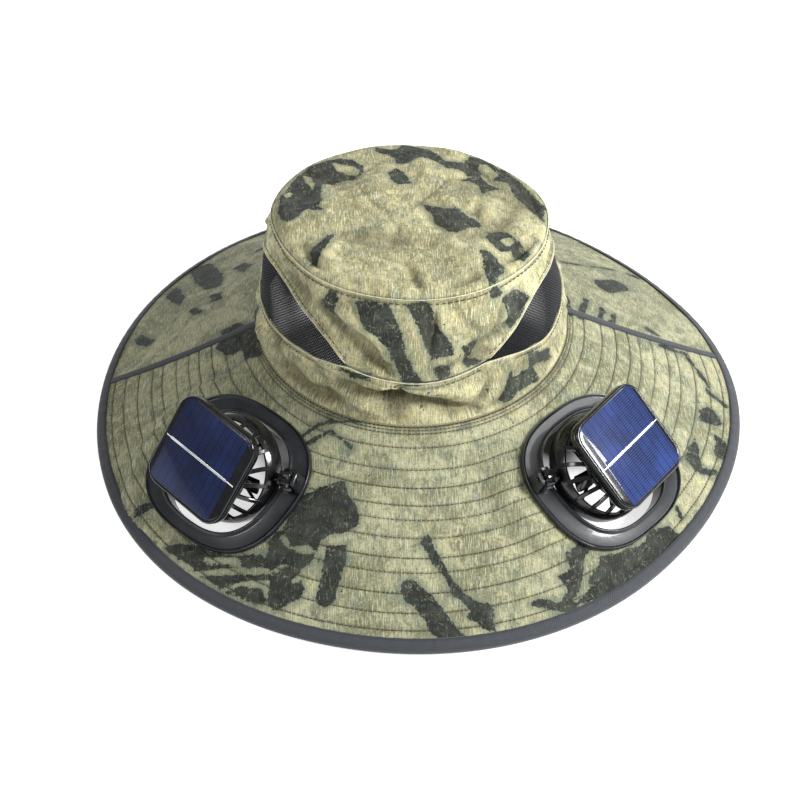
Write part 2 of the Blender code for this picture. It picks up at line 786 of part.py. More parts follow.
def rotor_mesh():
    """Hub with blades and a bore for the shaft."""
    hub = cylinder_mesh("hub", HUB_RADIUS, HUB_BOTTOM, HUB_TOP, 16)
    inner = HUB_RADIUS - 1.0 * MM
    blades = []
    for count in range(BLADE_COUNT):
        blade = box_mesh(
            "blade", (BLADE_REACH - inner, BLADE_CHORD, BLADE_THICK),
            ((BLADE_REACH + inner) / 2, 0.0, (HUB_TOP + HUB_BOTTOM) / 2), turn_by(BLADE_PITCH, (1.0, 0.0, 0.0)),
        )
        blade.transform(turn_by(360.0 / BLADE_COUNT * count + 8.0, (0.0, 0.0, 1.0)))
        blades.append(blade)
    body = combine("rotor", hub, blades, "UNION")
    bore = cylinder_mesh("bore", SHAFT_RADIUS + GAP, HUB_BOTTOM - 1.0 * MM, HUB_TOP + 1.0 * MM, 10)
    return combine("rotor_bored", body, [bore], "DIFFERENCE")


def guard_mesh():
    """Lower guard: a ring, spokes and a small middle disc."""
    inner_radius = CAGE_RADIUS - 1.6 * MM - GAP
    low = GUARD_TOP - GUARD_THICK
    section = (
        (inner_radius, GUARD_TOP),
        (inner_radius, low),
        (inner_radius - GUARD_RING, low),
        (inner_radius - GUARD_RING, GUARD_TOP),
    )
    body = turned_mesh("guard", section, 24)
    pieces = [cylinder_mesh("guard_disc", GUARD_HUB, low, GUARD_TOP, 12)]
    reach = inner_radius - GUARD_RING / 2
    for count in range(GUARD_SPOKES):
        spoke = box_mesh(
            "spoke", (reach - GUARD_HUB + 1.0 * MM, GUARD_SPOKE_WIDTH, GUARD_THICK - 2 * GUARD_SPOKE_INSET),
            ((reach + GUARD_HUB - 1.0 * MM) / 2, 0.0, (low + GUARD_TOP) / 2),
        )
        spoke.transform(turn_by(360.0 / GUARD_SPOKES * (count + 0.5), (0.0, 0.0, 1.0)))
        pieces.append(spoke)
    return combine("guard_body", body, pieces, "UNION")


# Brim cutters: the holes under the fan rings


def hole_cutter(side):
    """Prism of the collar outline that cuts the brim."""
    points = []
    for count in range(RING_STEPS):
        x, y = oval_point(oval_turn(count / RING_STEPS), COLLAR_SHARE)
        length = math.hypot(x, y)
        points.append((x * (1 + GAP / length), y * (1 + GAP / length)))
    mesh = outline_mesh("hole_" + side, points, -12.0 * MM, 12.0 * MM)
    matrix = to_world(side)
    mesh.transform(matrix)
    if matrix.determinant() < 0:
        mesh.flip_normals()
    clean_mesh(mesh)
    cutter = add_object("cut_hole_" + side, mesh, CUTTERS)
    cutter.hide_render = True
    cutter.display_type = "WIRE"
    return cutter


HOLES = [hole_cutter(side) for side in ("left", "right")]


def brim_limit(angle):
    """Share of the brim where the binding begins."""
    length = np.linalg.norm(brim_edge(angle) - crown_base(angle))
    return 1.0 - (BINDING_WIDTH + BINDING_GAP) / length


def brim_start(angle):
    """Share of the brim just outside the crown."""
    length = np.linalg.norm(brim_edge(angle) - crown_base(angle))
    return 2 * GAP / length


def brim_share(angle, share):
    """Share along the cloth between crown and binding."""
    start = brim_start(angle)
    return start + (brim_limit(angle) - start) * share


def brim_panel(first, last, turn):
    """Place function for a brim panel between two side seams."""

    def place(u, v):
        out = 1.0 - v
        rough = 0.05 + 0.9 * out
        a0 = seam_angle(first, rough)
        a1 = seam_angle(last, rough) + turn
        radius = np.linalg.norm(brim_cone(a0, rough)[:2])
        inset = GAP / 2 / radius
        angle = a0 + inset + (a1 - a0 - 2 * inset) * u
        return brim_point(angle, brim_share(angle, out))

    return place


brim_front = cloth_piece(
    "brim_front", 40, 7, brim_panel("left", "right", 0.0), BRIM_CLOTH, "camo_cloth", cutters=HOLES
)
brim_back = cloth_piece("brim_back", 32, 3, brim_panel("right", "left", math.tau), BRIM_CLOTH, "camo_cloth")


def tape_place(side):
    """Place function for the tape over a side seam."""

    def place(u, v):
        rough = TAPE_START + (TAPE_END - TAPE_START) * (1.0 - v)
        middle = seam_angle(side, rough)
        radius = np.linalg.norm(brim_cone(middle, rough)[:2])
        angle = middle + (u - 0.5) * TAPE_WIDTH / radius
        step = 1e-3
        point = brim_point(angle, rough)
        way = brim_point(angle + step, rough) - brim_point(angle - step, rough)
        out = brim_point(angle, rough + step) - brim_point(angle, rough - step)
        normal = np.cross(out, way)
        normal /= np.linalg.norm(normal)
        return point + normal * (GAP + TAPE_THICK)

    return place


for side in ("left", "right"):
    cloth_piece("seam_tape_" + side, 2, 9, tape_place(side), TAPE_THICK, "slate_tape")

# Binding round the edge of the brim, a closed strip with a flat foot
BINDING_SECTION = (
    (0.0, "mid"),
    (0.25, "top"),
    (1.0, "top"),
    (1.0, "low"),
    (BINDING_FOOT / BINDING_WIDTH, "floor"),
    (0.08, "floor"),
)


def binding_place(u, v):
    """Point of the binding strip."""
    count = len(BINDING_SECTION)
    share, kind = BINDING_SECTION[round(v * count) % count]
    angle = u * math.tau
    length = np.linalg.norm(brim_edge(angle) - crown_base(angle))
    point = brim_cone(angle, 1.0 - share * BINDING_WIDTH / length)
    if kind == "top":
        point[2] += BINDING_OVER
    if kind == "low":
        point[2] -= BRIM_CLOTH + BINDING_OVER
    if kind == "floor":
        point[2] = 0.0
    if kind == "mid":
        point[2] = EDGE_HEIGHT * 0.7
    return point


binding = closed_grid_mesh("brim_binding", 60, len(BINDING_SECTION), binding_place)
place_mesh("brim_binding", binding, Matrix.Identity(4), Vector((0.0, 0.0, 0.0)), "slate_tape")


def crown_angle(share):
    """Angle of a crown column, share 0 and 1 both at the back."""
    count = len(CROWN_ANGLES) - 1
    column = round(share * 2 * count) - count
    return math.radians(math.copysign(CROWN_ANGLES[abs(column)], column))


def band_place(u, v):
    """Lower band of the crown."""
    angle = crown_angle(u)
    low, _high = vent_limits(angle)
    start = share_of_gap()
    return wall_point(angle, start + (low - share_of_gap() - start) * v)


def upper_place(u, v):
    """Crown wall over the band and the vents."""
    angle = crown_angle(u)
    _low, high = vent_limits(angle)
    start = high + share_of_gap()
    return wall_point(angle, start + (WALL_END - start) * v)


def top_place(u, v):
    """Crown top with its edge turned down over the seam."""
    angle = crown_angle(u)
    row = round(v * TOP_ROWS)
    if row == 0:
        return wall_point(angle, WALL_END + share_of_gap())
    return top_point(angle, TOP_SHARES[row - 1])


CROWN_COLUMNS = 2 * (len(CROWN_ANGLES) - 1)
cloth_piece("crown_band", CROWN_COLUMNS, 2, band_place, CROWN_CLOTH, "camo_cloth", closed=True)
cloth_piece("crown_wall", CROWN_COLUMNS, 3, upper_place, CROWN_CLOTH, "camo_cloth", closed=True)
cloth_piece("crown_top", CROWN_COLUMNS, TOP_ROWS, top_place, CROWN_CLOTH, "camo_cloth", closed=True)


def vent_place(sign):
    """Place function for one side vent."""
    first = CROWN_ANGLES.index(VENT_ROWS[0][0])
    last = CROWN_ANGLES.index(VENT_ROWS[-1][0])

    def place(u, v):
        share = u if sign > 0 else 1.0 - u
        angle = math.radians(CROWN_ANGLES[first + round(share * (last - first))]) * sign
        low, high = vent_limits(angle)
        low += share_of_gap()
        high -= share_of_gap()
        return wall_point(angle, low + (high - low) * v)

    return place


VENT_COLUMN_COUNT = CROWN_ANGLES.index(VENT_ROWS[-1][0]) - CROWN_ANGLES.index(VENT_ROWS[0][0])
cloth_piece("vent_left", VENT_COLUMN_COUNT, 2, vent_place(-1), CROWN_CLOTH, "mesh_black")
cloth_piece("vent_right", VENT_COLUMN_COUNT, 2, vent_place(1), CROWN_CLOTH, "mesh_black")

# Fans
RING = ring_mesh("left")
ARM = arm_mesh()
CAGE = cage_mesh()
HOUSING, CELL, BUS = panel_meshes()
MOTOR = motor_mesh()
ROTOR = rotor_mesh()
GUARD = guard_mesh()

for side in ("left", "right"):
    ring_to_hat = to_world(side)
    fan_to_hat = ring_to_hat @ fan_axes(side)
    hinge_point = ring_to_hat @ Vector(HINGE_PLACE)
    centre_point = ring_to_hat @ Vector(FAN_CENTRE)
    place_mesh("fan_ring_" + side, RING, ring_to_hat, ring_to_hat @ Vector((0.0, 0.0, 0.0)), "gloss_plastic")
    place_mesh("fan_arm_" + side, ARM, fan_to_hat, hinge_point, "gloss_plastic")
    place_mesh("fan_cage_" + side, CAGE, fan_to_hat, hinge_point, "gloss_plastic")
    place_mesh("fan_guard_" + side, GUARD, fan_to_hat, hinge_point, "gloss_plastic")
    place_mesh("fan_motor_" + side, MOTOR, fan_to_hat, hinge_point, "motor_metal")
    place_mesh("panel_housing_" + side, HOUSING, fan_to_hat, hinge_point, "gloss_plastic")
    place_mesh("solar_cell_" + side, CELL, fan_to_hat, hinge_point, "solar_cell")
    place_mesh("bus_bar_" + side, BUS, fan_to_hat, hinge_point, "bus_silver")
    place_mesh("fan_rotor_" + side, ROTOR, fan_to_hat, centre_point, "gloss_plastic")

for cutter in HOLES:
    cutter.hide_render = True
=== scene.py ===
"""Looks of the solar fan hat: cloth, mesh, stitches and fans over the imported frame, with floor, light and camera."""
import math

import bmesh
import bpy
import numpy as np
from mathutils import Matrix, Vector


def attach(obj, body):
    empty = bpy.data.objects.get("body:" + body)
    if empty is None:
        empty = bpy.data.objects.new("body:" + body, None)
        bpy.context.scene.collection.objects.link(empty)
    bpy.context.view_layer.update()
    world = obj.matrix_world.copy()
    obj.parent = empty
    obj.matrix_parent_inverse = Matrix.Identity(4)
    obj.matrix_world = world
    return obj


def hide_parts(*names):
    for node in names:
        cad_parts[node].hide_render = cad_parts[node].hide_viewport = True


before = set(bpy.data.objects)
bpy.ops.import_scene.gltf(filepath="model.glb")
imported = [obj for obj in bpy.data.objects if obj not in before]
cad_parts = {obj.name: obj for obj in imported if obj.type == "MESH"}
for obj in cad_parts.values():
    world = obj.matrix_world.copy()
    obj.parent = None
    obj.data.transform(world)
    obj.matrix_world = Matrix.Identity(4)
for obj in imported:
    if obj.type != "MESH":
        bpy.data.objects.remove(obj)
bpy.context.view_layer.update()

MM = 0.001
TAU = math.tau
WRINKLES = 14
WEAVE_SCALE = 0.314 / 0.9
SHARP_ANGLE = math.radians(32.0)

# Sizes of the hat, the same as in the frame. Outlines have a row for each 15 degrees, from the back round
CROWN_BASE = (89.0 * MM, 100.0 * MM, 60.5 * MM)
CROWN_TOP_WIDTH = 75.2 * MM
CROWN_TOP_FRONT = 85.8 * MM
CROWN_TOP_BACK = 75.5 * MM
WALL_FRONT = 74.7 * MM
WALL_BACK = 69.5 * MM
WALL_BULGE = 1.2 * MM
CROWN_SHIFT = -3.7 * MM
TOP_RISE = 4.0 * MM
SEAM_ROLL = 1.6 * MM
WALL_END = 0.965
BAND_SHARE = 0.355
BRIM_HALF = (190.9 * MM, 206.0 * MM)
BRIM_SHIFT = 0.5 * MM
EDGE_HEIGHT = 2.2 * MM
BINDING_WIDTH = 6.2 * MM
GAP = 0.3 * MM
BRIM_OUTLINE = (
    1.003, 1.004, 1.005, 1.008, 1.007, 1.002, 0.999, 1.004, 1.014, 1.018, 1.013, 1.006, 1.003,
    0.999, 0.991, 0.981, 0.981, 0.989, 0.993, 0.985, 0.971, 0.969, 0.982, 0.996, 1.003,
)
TOP_OUTLINE = (
    0.960, 0.985, 0.990, 1.012, 1.012, 1.015, 1.020, 1.000, 0.990, 1.000, 1.000, 0.995, 1.000,
    1.005, 1.005, 1.000, 1.000, 0.985, 0.972, 0.945, 0.912, 0.905, 0.925, 0.940, 0.960,
)
SEAM_ANGLES = {"left": (-87.5, -94.4), "right": (90.8, 97.4)}
# Angle from the front, shares of the lower and the upper edge
VENT_ROWS = (
    (26.5, 0.419, 0.431), (34.0, 0.415, 0.560), (42.0, 0.385, 0.650), (52.0, 0.350, 0.715), (60.0, 0.335, 0.745),
    (72.0, 0.330, 0.735), (88.0, 0.340, 0.685), (104.0, 0.350, 0.620), (122.0, 0.370, 0.540), (140.0, 0.410, 0.422),
)
# Waves: height, count round, count along, phase
WAVE_HEIGHT = 1.6 * MM
WALL_WAVES = ((0.55, 5.0, 0.6, 0.10), (0.35, 9.0, 1.1, 0.42), (0.30, 3.0, 1.6, 0.77))
BRIM_WAVES = ((0.60, 3.0, 0.5, 0.30), (0.45, 5.0, 0.9, 0.72), (0.30, 8.0, 0.7, 0.15))
TOP_WAVES = ((0.90, 2.0, 0.9, 0.15), (0.50, 5.0, 1.3, 0.60))
SEAM_CALM = 14.0
# Angle from the front and share of the brim's width
FAN_PLACES = {"left": (-48.9, 0.485), "right": (44.6, 0.490)}
RING_TILT = {"left": -4.5, "right": 0.0}
FLAT_SINK = 1.2 * MM
FLAT_FULL = 1.16
FLAT_END = 1.44
RING_OUTER = (47.8 * MM, 41.5 * MM)
RING_OPENING = (34.0 * MM, 32.6 * MM)
RING_ROUNDNESS = 2.6
HINGE_PLACE = (-39.4 * MM, -14.7 * MM, 9.5 * MM)
FAN_CENTRE = (-3.6 * MM, -1.9 * MM, 7.5 * MM)
FAN_LEAN = {"left": 27.5, "right": 14.5}

# Stitch rows of the front of the brim, as shares of its width
BRIM_ROWS = (0.004, 0.018, 0.034, 0.100, 0.201, 0.283, 0.362, 0.426, 0.504, 0.591, 0.657, 0.746, 0.834, 0.910)

# Blotches of the cloth: areas as their corners, strokes as radius in mm and line. Bare ones are cut out of the dark.
# Brim and top: plan x and y in mm. Wall: angle in degrees and height in mm
BLOT_AREAS = {
    ("top", "dark"): (
        ((-78, 2), (-76, 13), (-70, 32), (-64, 42), (-65, 41), (-56, 50), (-45, 54), (-36, 53), (-30, 46),
        (-31, 36), (-36, 31), (-43, 30), (-46, 28), (-53, 24), (-53, 1), (-55, -3), (-52, -9), (-61, -7),
        (-65, -12), (-71, -17), (-75, -14)),
        ((-23, 68), (-13, 62), (-6, 68), (6, 64), (13, 57), (19, 46), (27, 45), (31, 54), (39, 51), (51, 37),
        (56, 29), (65, 12), (67, 2), (70, 0), (67, -17), (64, -14), (62, -7), (58, 1), (54, 7), (50, 21), (46, 25),
        (39, 26), (41, 19), (46, 15), (39, 10), (35, 5), (34, 19), (30, 24), (24, 26), (32, 29), (26, 35), (18, 40),
        (12, 46), (3, 51), (-3, 46), (-8, 45), (-11, 45), (-12, 52), (-16, 58), (-21, 61)),
        ((-16, 33), (-11, 39), (-7, 34), (-3, 20), (-10, 18), (-14, 22)),
        ((1, 0), (6, -6), (14, -7), (22, -7), (27, -14), (34, -22), (32, -26), (26, -28), (22, -32), (14, -30),
        (9, -25), (7, -15), (3, -6)),
        ((36, -28), (42, -28), (47, -31), (51, -37), (55, -44), (57, -49), (53, -56), (50, -53), (47, -47),
        (41, -49), (37, -43), (34, -37)),
        ((-47, -30), (-47, -36), (-53, -48), (-56, -57), (-60, -56), (-59, -53), (-60, -44), (-55, -37),
        (-50, -31)),
        ((30, -50), (34, -51), (39, -56), (43, -66), (38, -72), (33, -75), (32, -68), (31, -60)),
    ),
    ("top", "bare"): (
        ((-48, 49), (-37, 46), (-32, 41), (-34, 36), (-39, 38), (-44, 40)),
        ((-64, 37), (-60, 34), (-57, 25), (-58, 18), (-61, 24), (-64, 30)),
        ((-76, 13), (-74, 16), (-70, 18), (-72, 11), (-78, 15)),
        ((37, 45), (41, 43), (46, 33), (43, 24), (40, 24), (37, 31)),
        ((42, -38), (47, -34), (50, -38), (45, -43)),
    ),
    ("wall", "dark"): (
        ((-37, 122), (-33, 130), (-30, 130), (-29, 126), (-30, 118), (-26, 113), (-32, 116), (-37, 120)),
        ((-23, 127), (-20, 130), (-14, 132), (-13, 130), (-10, 130), (-6, 117), (-3, 100), (1, 86), (-2, 85),
        (-5, 85), (-6, 91), (-10, 105), (-15, 114), (-20, 119), (-21, 124)),
        ((-4, 131), (-1, 132), (3, 132), (5, 126), (7, 116), (11, 107), (11, 101), (7, 100), (4, 99), (2, 108),
        (-1, 122), (-3, 129)),
        ((14, 104), (21, 106), (18, 100), (17, 96), (21, 93), (16, 91), (15, 95), (15, 100)),
        ((5, 95), (11, 95), (10, 89), (6, 88)),
        ((31, 124), (40, 123), (44, 116), (42, 113), (38, 109), (32, 108), (32, 115), (32, 120)),
        ((26, 132), (29, 132), (32, 127), (30, 125), (26, 128)),
        ((-25, 90), (-19, 90), (-15, 90), (-17, 86), (-22, 85)),
        ((40, 86), (52, 77), (57, 66), (44, 74), (37, 75), (42, 67), (41, 77)),
        ((27, 66), (30, 73), (33, 81), (34, 74), (36, 68), (33, 64), (29, 63)),
        ((36, 64), (41, 63), (46, 62), (44, 74), (37, 75), (30, 76)),
    ),
    ("brim", "dark"): (
        ((-144, 123), (-141, 132), (-132, 132), (-125, 112), (-118, 84), (-120, 71), (-128, 75), (-136, 90)),
        ((-158, 97), (-151, 105), (-143, 77), (-146, 68), (-154, 83)),
        ((-174, 51), (-169, 52), (-158, 36), (-163, 32), (-171, 42)),
        ((-114, 99), (-107, 102), (-101, 87), (-105, 75)),
        ((-127, 63), (-118, 59), (-117, 47), (-124, 51)),
        ((-140, 56), (-134, 54), (-129, 43), (-135, 44)),
        ((-117, -8), (-115, 7), (-105, 7), (-94, -7), (-88, -35), (-93, -33), (-99, -30), (-101, -21), (-107, -22),
        (-112, -17), (-116, -11)),
        ((-67, -125), (-56, -123), (-44, -124), (-41, -131), (-37, -141), (-37, -146), (-44, -148), (-52, -148),
        (-57, -150), (-59, -154), (-57, -160), (-63, -164), (-68, -167), (-65, -172), (-68, -177), (-73, -178),
        (-80, -180), (-85, -177), (-84, -169), (-83, -160), (-88, -157), (-86, -151), (-84, -148), (-85, -143),
        (-78, -140), (-73, -134), (-69, -128)),
        ((-54, -153), (-47, -154), (-43, -154), (-44, -161), (-47, -170), (-50, -179), (-53, -182), (-59, -181),
        (-60, -176), (-56, -167), (-56, -160)),
        ((-141, -131), (-133, -131), (-122, -135), (-114, -141), (-100, -147), (-88, -149), (-83, -154),
        (-82, -165), (-88, -168), (-85, -174), (-88, -176), (-97, -172), (-107, -165), (-117, -157), (-125, -149),
        (-133, -141), (-139, -134)),
        ((13, -178), (22, -184), (27, -185), (28, -183), (31, -188), (32, -198), (24, -197), (20, -193), (17, -191),
        (20, -188), (15, -184)),
        ((73, -155), (78, -151), (84, -152), (79, -164), (76, -174), (72, -179), (76, -183), (65, -186), (50, -184),
        (50, -182), (58, -180), (66, -181), (70, -175), (67, -170), (64, -169), (73, -165), (70, -159)),
        ((89, -155), (101, -149), (112, -142), (120, -131), (130, -126), (136, -131), (130, -138), (116, -153),
        (104, -164), (93, -172), (81, -179), (73, -182), (82, -173), (82, -168), (89, -158)),
        ((145, -84), (149, -72), (154, -63), (156, -70), (156, -82), (151, -90), (148, -86)),
        ((168, -53), (175, -56), (171, -72), (165, -70)),
        ((161, -38), (167, -31), (173, -33), (175, -42), (170, -46), (164, -47), (159, -47)),
    ),
}
BLOT_STROKES = {
    ("brim", "dark"): (
        (1.3, ((-67, -93), (-57, -90), (-35, -94))), (1.3, ((-68, -98), (-51, -95), (-40, -107))),
        (2.4, ((-157, -106), (-148, -104))), (5.4, ((-11, -178), (-4, -184), (3, -195), (10, -202))),
        (2.2, ((-2, -155), (3, -165), (8, -172), (13, -179))), (1.9, ((154, -86), (164, -82))),
        (1.8, ((87, -1), (88, 16))), (1.9, ((94, 0), (101, 24))), (1.6, ((106, 4), (110, 22))),
        (1.4, ((114, 6), (118, 22))), (2.5, ((139, 21), (144, 20))), (1.8, ((144, 8), (161, 11))),
        (1.6, ((162, 8), (167, -2), (171, -12))), (1.8, ((170, -18), (175, -22), (180, -24))),
        (1.1, ((92, 74), (120, 95), (131, 104))), (2.0, ((140, 107), (146, 107))), (1.5, ((101, -68), (104, -71))),
        (1.5, ((136, -115), (138, -120))), (7.0, ((-62, 150), (-48, 160), (-40, 178))),
        (9.0, ((14, 150), (24, 158))), (6.0, ((66, 132), (72, 150), (90, 160))),
        (5.0, ((-20, 120), (-4, 128), (2, 140))), (7.0, ((118, 60), (128, 72))),
        (4.0, ((-96, 118), (-84, 126), (-80, 142))), (3.0, ((40, 112), (52, 122), (66, 118))),
    ),
    ("brim", "bare"): (
        (1.5, ((-123, -151), (-105, -154), (-85, -160))), (1.8, ((-109, -164), (-99, -163), (-86, -166))),
        (1.5, ((-118, -144), (-105, -148), (-100, -151))), (1.5, ((-132, -142), (-126, -148))),
        (1.5, ((-80, -160), (-76, -159))), (1.5, ((-70, -167), (-62, -162), (-58, -156))),
        (1.5, ((-77, -144), (-73, -151), (-61, -155))), (2.5, ((8, 148), (22, 156))),
    ),
    ("wall", "dark"): (
        (6.0, ((150, 122), (158, 100))), (8.0, ((-162, 110), (-150, 92), (-146, 76))),
        (5.0, ((178, 84), (170, 70))), (5.0, ((-120, 128), (-108, 122))), (6.0, ((112, 74), (124, 72))),
        (4.0, ((-92, 78), (-84, 70))), (5.0, ((-178, 124), (-172, 108))), (4.0, ((132, 128), (140, 118))),
    ),
}

# Folds: height in mm, width in mm, and the line they follow
FOLDS = {
    "wall": (
        (-1.5, 2.6, ((-37, 121), (-23, 109), (-6, 86))), (-1.0, 2.2, ((-23, 115), (-14, 101), (-7, 85))),
        (0.8, 3.0, ((-30, 125), (-18, 114), (-11, 104))), (-2.2, 2.4, ((-26, 80), (-18, 79), (0, 78), (19, 64))),
        (0.9, 3.2, ((-24, 86), (-6, 84), (7, 81), (20, 74))), (-0.9, 1.4, ((6, 131), (6, 116), (4, 102))),
        (-1.1, 2.4, ((39, 114), (29, 109), (20, 103))), (-0.7, 2.2, ((33, 124), (26, 109))),
        (-0.6, 3.0, ((-79, 118), (-56, 121), (-36, 120))), (0.5, 1.5, ((-47, 86), (-45, 79))),
        (-1.4, 3.2, ((-52, 70), (-38, 67), (-24, 70))), (-0.8, 1.6, ((-7, 89), (-5, 80))),
        (-1.0, 2.2, ((24, 80), (20, 71), (16, 66))), (-0.8, 2.4, ((73, 119), (60, 114), (49, 109))),
        (-0.5, 2.4, ((12, 126), (17, 116), (22, 111))), (-0.7, 2.0, ((-44, 85), (-30, 85))),
    ),
    "top": (
        (-1.0, 6.0, ((-49, -25), (-26, -34), (-1, -39))), (-1.2, 3.0, ((-9, -58), (-5, -74), (-1, -85))),
        (-1.3, 4.0, ((-65, -33), (-59, -53), (-53, -65))), (-0.8, 3.0, ((7, -84), (19, -77), (29, -68))),
        (0.8, 4.0, ((-41, -68), (-28, -75), (-14, -80))), (-0.8, 6.0, ((56, 2), (43, -22), (26, -36))),
        (-0.7, 5.0, ((1, -6), (14, -31), (33, -39))), (0.6, 9.0, ((-32, 26), (-16, -4), (-6, -29))),
        (-0.9, 3.0, ((40, -58), (54, -46), (65, -31))),
    ),
}

WALL_RADIUS = 92.0  # mm, for laying the crown wall flat
BLOT_REACH = 12.0  # mm, the farthest distance that the paint reads
FAR_OUT = 9.0


# Shapes of the hat


def stack(x, y, z):
    """Points from three arrays."""
    return np.stack(np.broadcast_arrays(x, y, z), axis=-1).astype(float)


def polar(radius, turn, height):
    """Points at a radius and a turn about Z."""
    return stack(radius * np.cos(turn), radius * np.sin(turn), height)


def unit(vectors):
    """Vectors with a length of 1."""
    return vectors / np.linalg.norm(vectors, axis=-1, keepdims=True)


def bell(value, width, power=2):
    """1 at 0, and nearly 0 past the width."""
    return np.exp(-((value / width) ** power))


def smooth(value):
    """Soft step from 0 to 1."""
    value = np.clip(value, 0.0, 1.0)
    return value * value * (3.0 - 2.0 * value)


def outline_share(shares, angle):
    """Share of the oval at an angle, with a smooth run between the rows."""
    shares = np.array(shares)
    place = ((np.degrees(angle) + 180.0) % 360.0) / 15.0
    index = np.clip(place.astype(int), 0, len(shares) - 2)
    t = place - index
    row = np.concatenate([[shares[-2]], shares, [shares[1]]])
    before, near, far, after = row[index], row[index + 1], row[index + 2], row[index + 3]
    bend = (2 * before - 5 * near + 4 * far - after) * t * t
    twist = (3 * near - before - 3 * far + after) * t ** 3
    return near + ((far - before) * t + bend + twist) / 2


def crown_base(angle):
    """Line where crown and brim meet."""
    return stack(CROWN_SHIFT + CROWN_BASE[0] * np.sin(angle), -CROWN_BASE[1] * np.cos(angle), CROWN_BASE[2])


def crown_seam(angle):
    """Seam between crown wall and crown top."""
    reach = np.where(np.cos(angle) > 0, CROWN_TOP_FRONT, CROWN_TOP_BACK)
    share = outline_share(TOP_OUTLINE, angle)
    y = -reach * share * np.cos(angle)
    back = (y + CROWN_TOP_FRONT) / (CROWN_TOP_FRONT + CROWN_TOP_BACK)
    height = CROWN_BASE[2] + WALL_FRONT + (WALL_BACK - WALL_FRONT) * back
    return stack(CROWN_SHIFT + CROWN_TOP_WIDTH * share * np.sin(angle), y, height)


def wave(rows, angle, along):
    """Height of the soft waves."""
    total = 0.0
    for height, round_count, along_count, phase in rows:
        total = total + height * np.cos(round_count * angle + TAU * (along_count * along + phase))
    return total * WAVE_HEIGHT


def outward(angle):
    """Level direction out of the hat."""
    return unit(stack(np.sin(angle) / CROWN_BASE[0], -np.cos(angle) / CROWN_BASE[1], 0.0))


def wall_point(angle, share):
    """Crown wall, share 0 at the brim and 1 at the top seam."""
    share = np.asarray(share, float)
    point = crown_base(angle) * (1.0 - share)[..., None] + crown_seam(angle) * share[..., None]
    swell = np.sin(math.pi * np.clip(share, 0.0, 1.0))
    return point + outward(angle) * ((WALL_BULGE + wave(WALL_WAVES, angle, share)) * swell)[..., None]


def wall_line(angle, share, out=0.0):
    """Line round the crown wall at one share, or a share for each angle, moved out by a distance."""
    return wall_point(angle, np.broadcast_to(share, angle.shape)) + outward(angle) * out


def top_point(angle, share):
    """Crown top, share 0 at the seam and 1 in the middle."""
    seam = crown_seam(angle)
    middle = (CROWN_SHIFT, (CROWN_TOP_BACK - CROWN_TOP_FRONT) / 2, CROWN_BASE[2] + (WALL_FRONT + WALL_BACK) / 2)
    point = seam + (np.array(middle) - seam) * share[..., None]
    rise = TOP_RISE * (1.0 - (1.0 - share) ** 2)
    lift = SEAM_ROLL * np.sin(np.clip(share / 0.06, 0.0, 1.0) * math.pi / 2)
    point[..., 2] += rise + lift + wave(TOP_WAVES, angle, share) * np.sin(math.pi * share) * (1.0 - share)
    return point


def brim_edge(angle):
    """Outer edge of the brim."""
    share = outline_share(BRIM_OUTLINE, angle)
    return stack(
        BRIM_SHIFT + BRIM_HALF[0] * share * np.sin(angle), -BRIM_HALF[1] * share * np.cos(angle), EDGE_HEIGHT
    )


def brim_cone(angle, share):
    """Brim before it lies flat under the fan rings."""
    start = crown_base(angle)
    return start + (brim_edge(angle) - start) * np.asarray(share, float)[..., None]


def brim_width(angle):
    """Slant width of the brim."""
    return np.linalg.norm(brim_edge(angle) - crown_base(angle), axis=-1)


def oval_share(along, across):
    """How far out a point lies, 1 on the ring's outer edge."""
    power = RING_ROUNDNESS
    return ((np.abs(along) / RING_OUTER[0]) ** power + (np.abs(across) / RING_OUTER[1]) ** power) ** (1.0 / power)


def fan_frame(side):
    """Ring place: middle, direction away from the hinge, outward direction and normal."""
    degrees, share = FAN_PLACES[side]
    angle = np.array(math.radians(degrees))
    step = 1e-4
    out = unit(brim_cone(angle, share + step) - brim_cone(angle, share - step))
    normal = unit(np.cross(out, brim_cone(angle + step, share) - brim_cone(angle - step, share)))
    along = np.cross(normal, out)
    if along[0] * (1 if side == "right" else -1) < 0:
        along = -along
    c, s = math.cos(math.radians(RING_TILT[side])), math.sin(math.radians(RING_TILT[side]))
    return brim_cone(angle, share) - normal * FLAT_SINK, along * c - normal * s, out, along * s + normal * c


FRAMES = {side: fan_frame(side) for side in FAN_PLACES}


def ring_reach(points, ring, room):
    """How far out of a ring points lie, 1 on its outer edge and FAR_OUT past the room in height, and their height."""
    middle, along, out, normal = ring
    offset = points - middle
    height = offset @ normal
    return np.where(np.abs(height) < room, oval_share(offset @ along, offset @ out), FAR_OUT), height


def seam_angle(side, share):
    """Angle of a side seam of the brim."""
    near, far = SEAM_ANGLES[side]
    return np.radians(near + (far - near) * share)


def seam_calm(angle, share):
    """Fade of the waves near the side seams."""
    fade = 1.0
    for side in SEAM_ANGLES:
        off = np.abs((angle - seam_angle(side, share) + math.pi) % TAU - math.pi) / math.radians(SEAM_CALM)
        fade = fade * smooth(off - 0.25)
    return fade


def brim_point(angle, share):
    """Top face of the brim."""
    point = brim_cone(angle, share)
    swell = np.sin(math.pi * np.clip(share, 0.0, 1.0)) * seam_calm(angle, share)
    point[..., 2] += wave(BRIM_WAVES, angle, share) * swell
    for ring in FRAMES.values():
        reach, height = ring_reach(point, ring, 0.05)
        blend = smooth((FLAT_END - reach) / (FLAT_END - FLAT_FULL))
        point = point - ring[3] * (height * blend)[..., None]
    return point


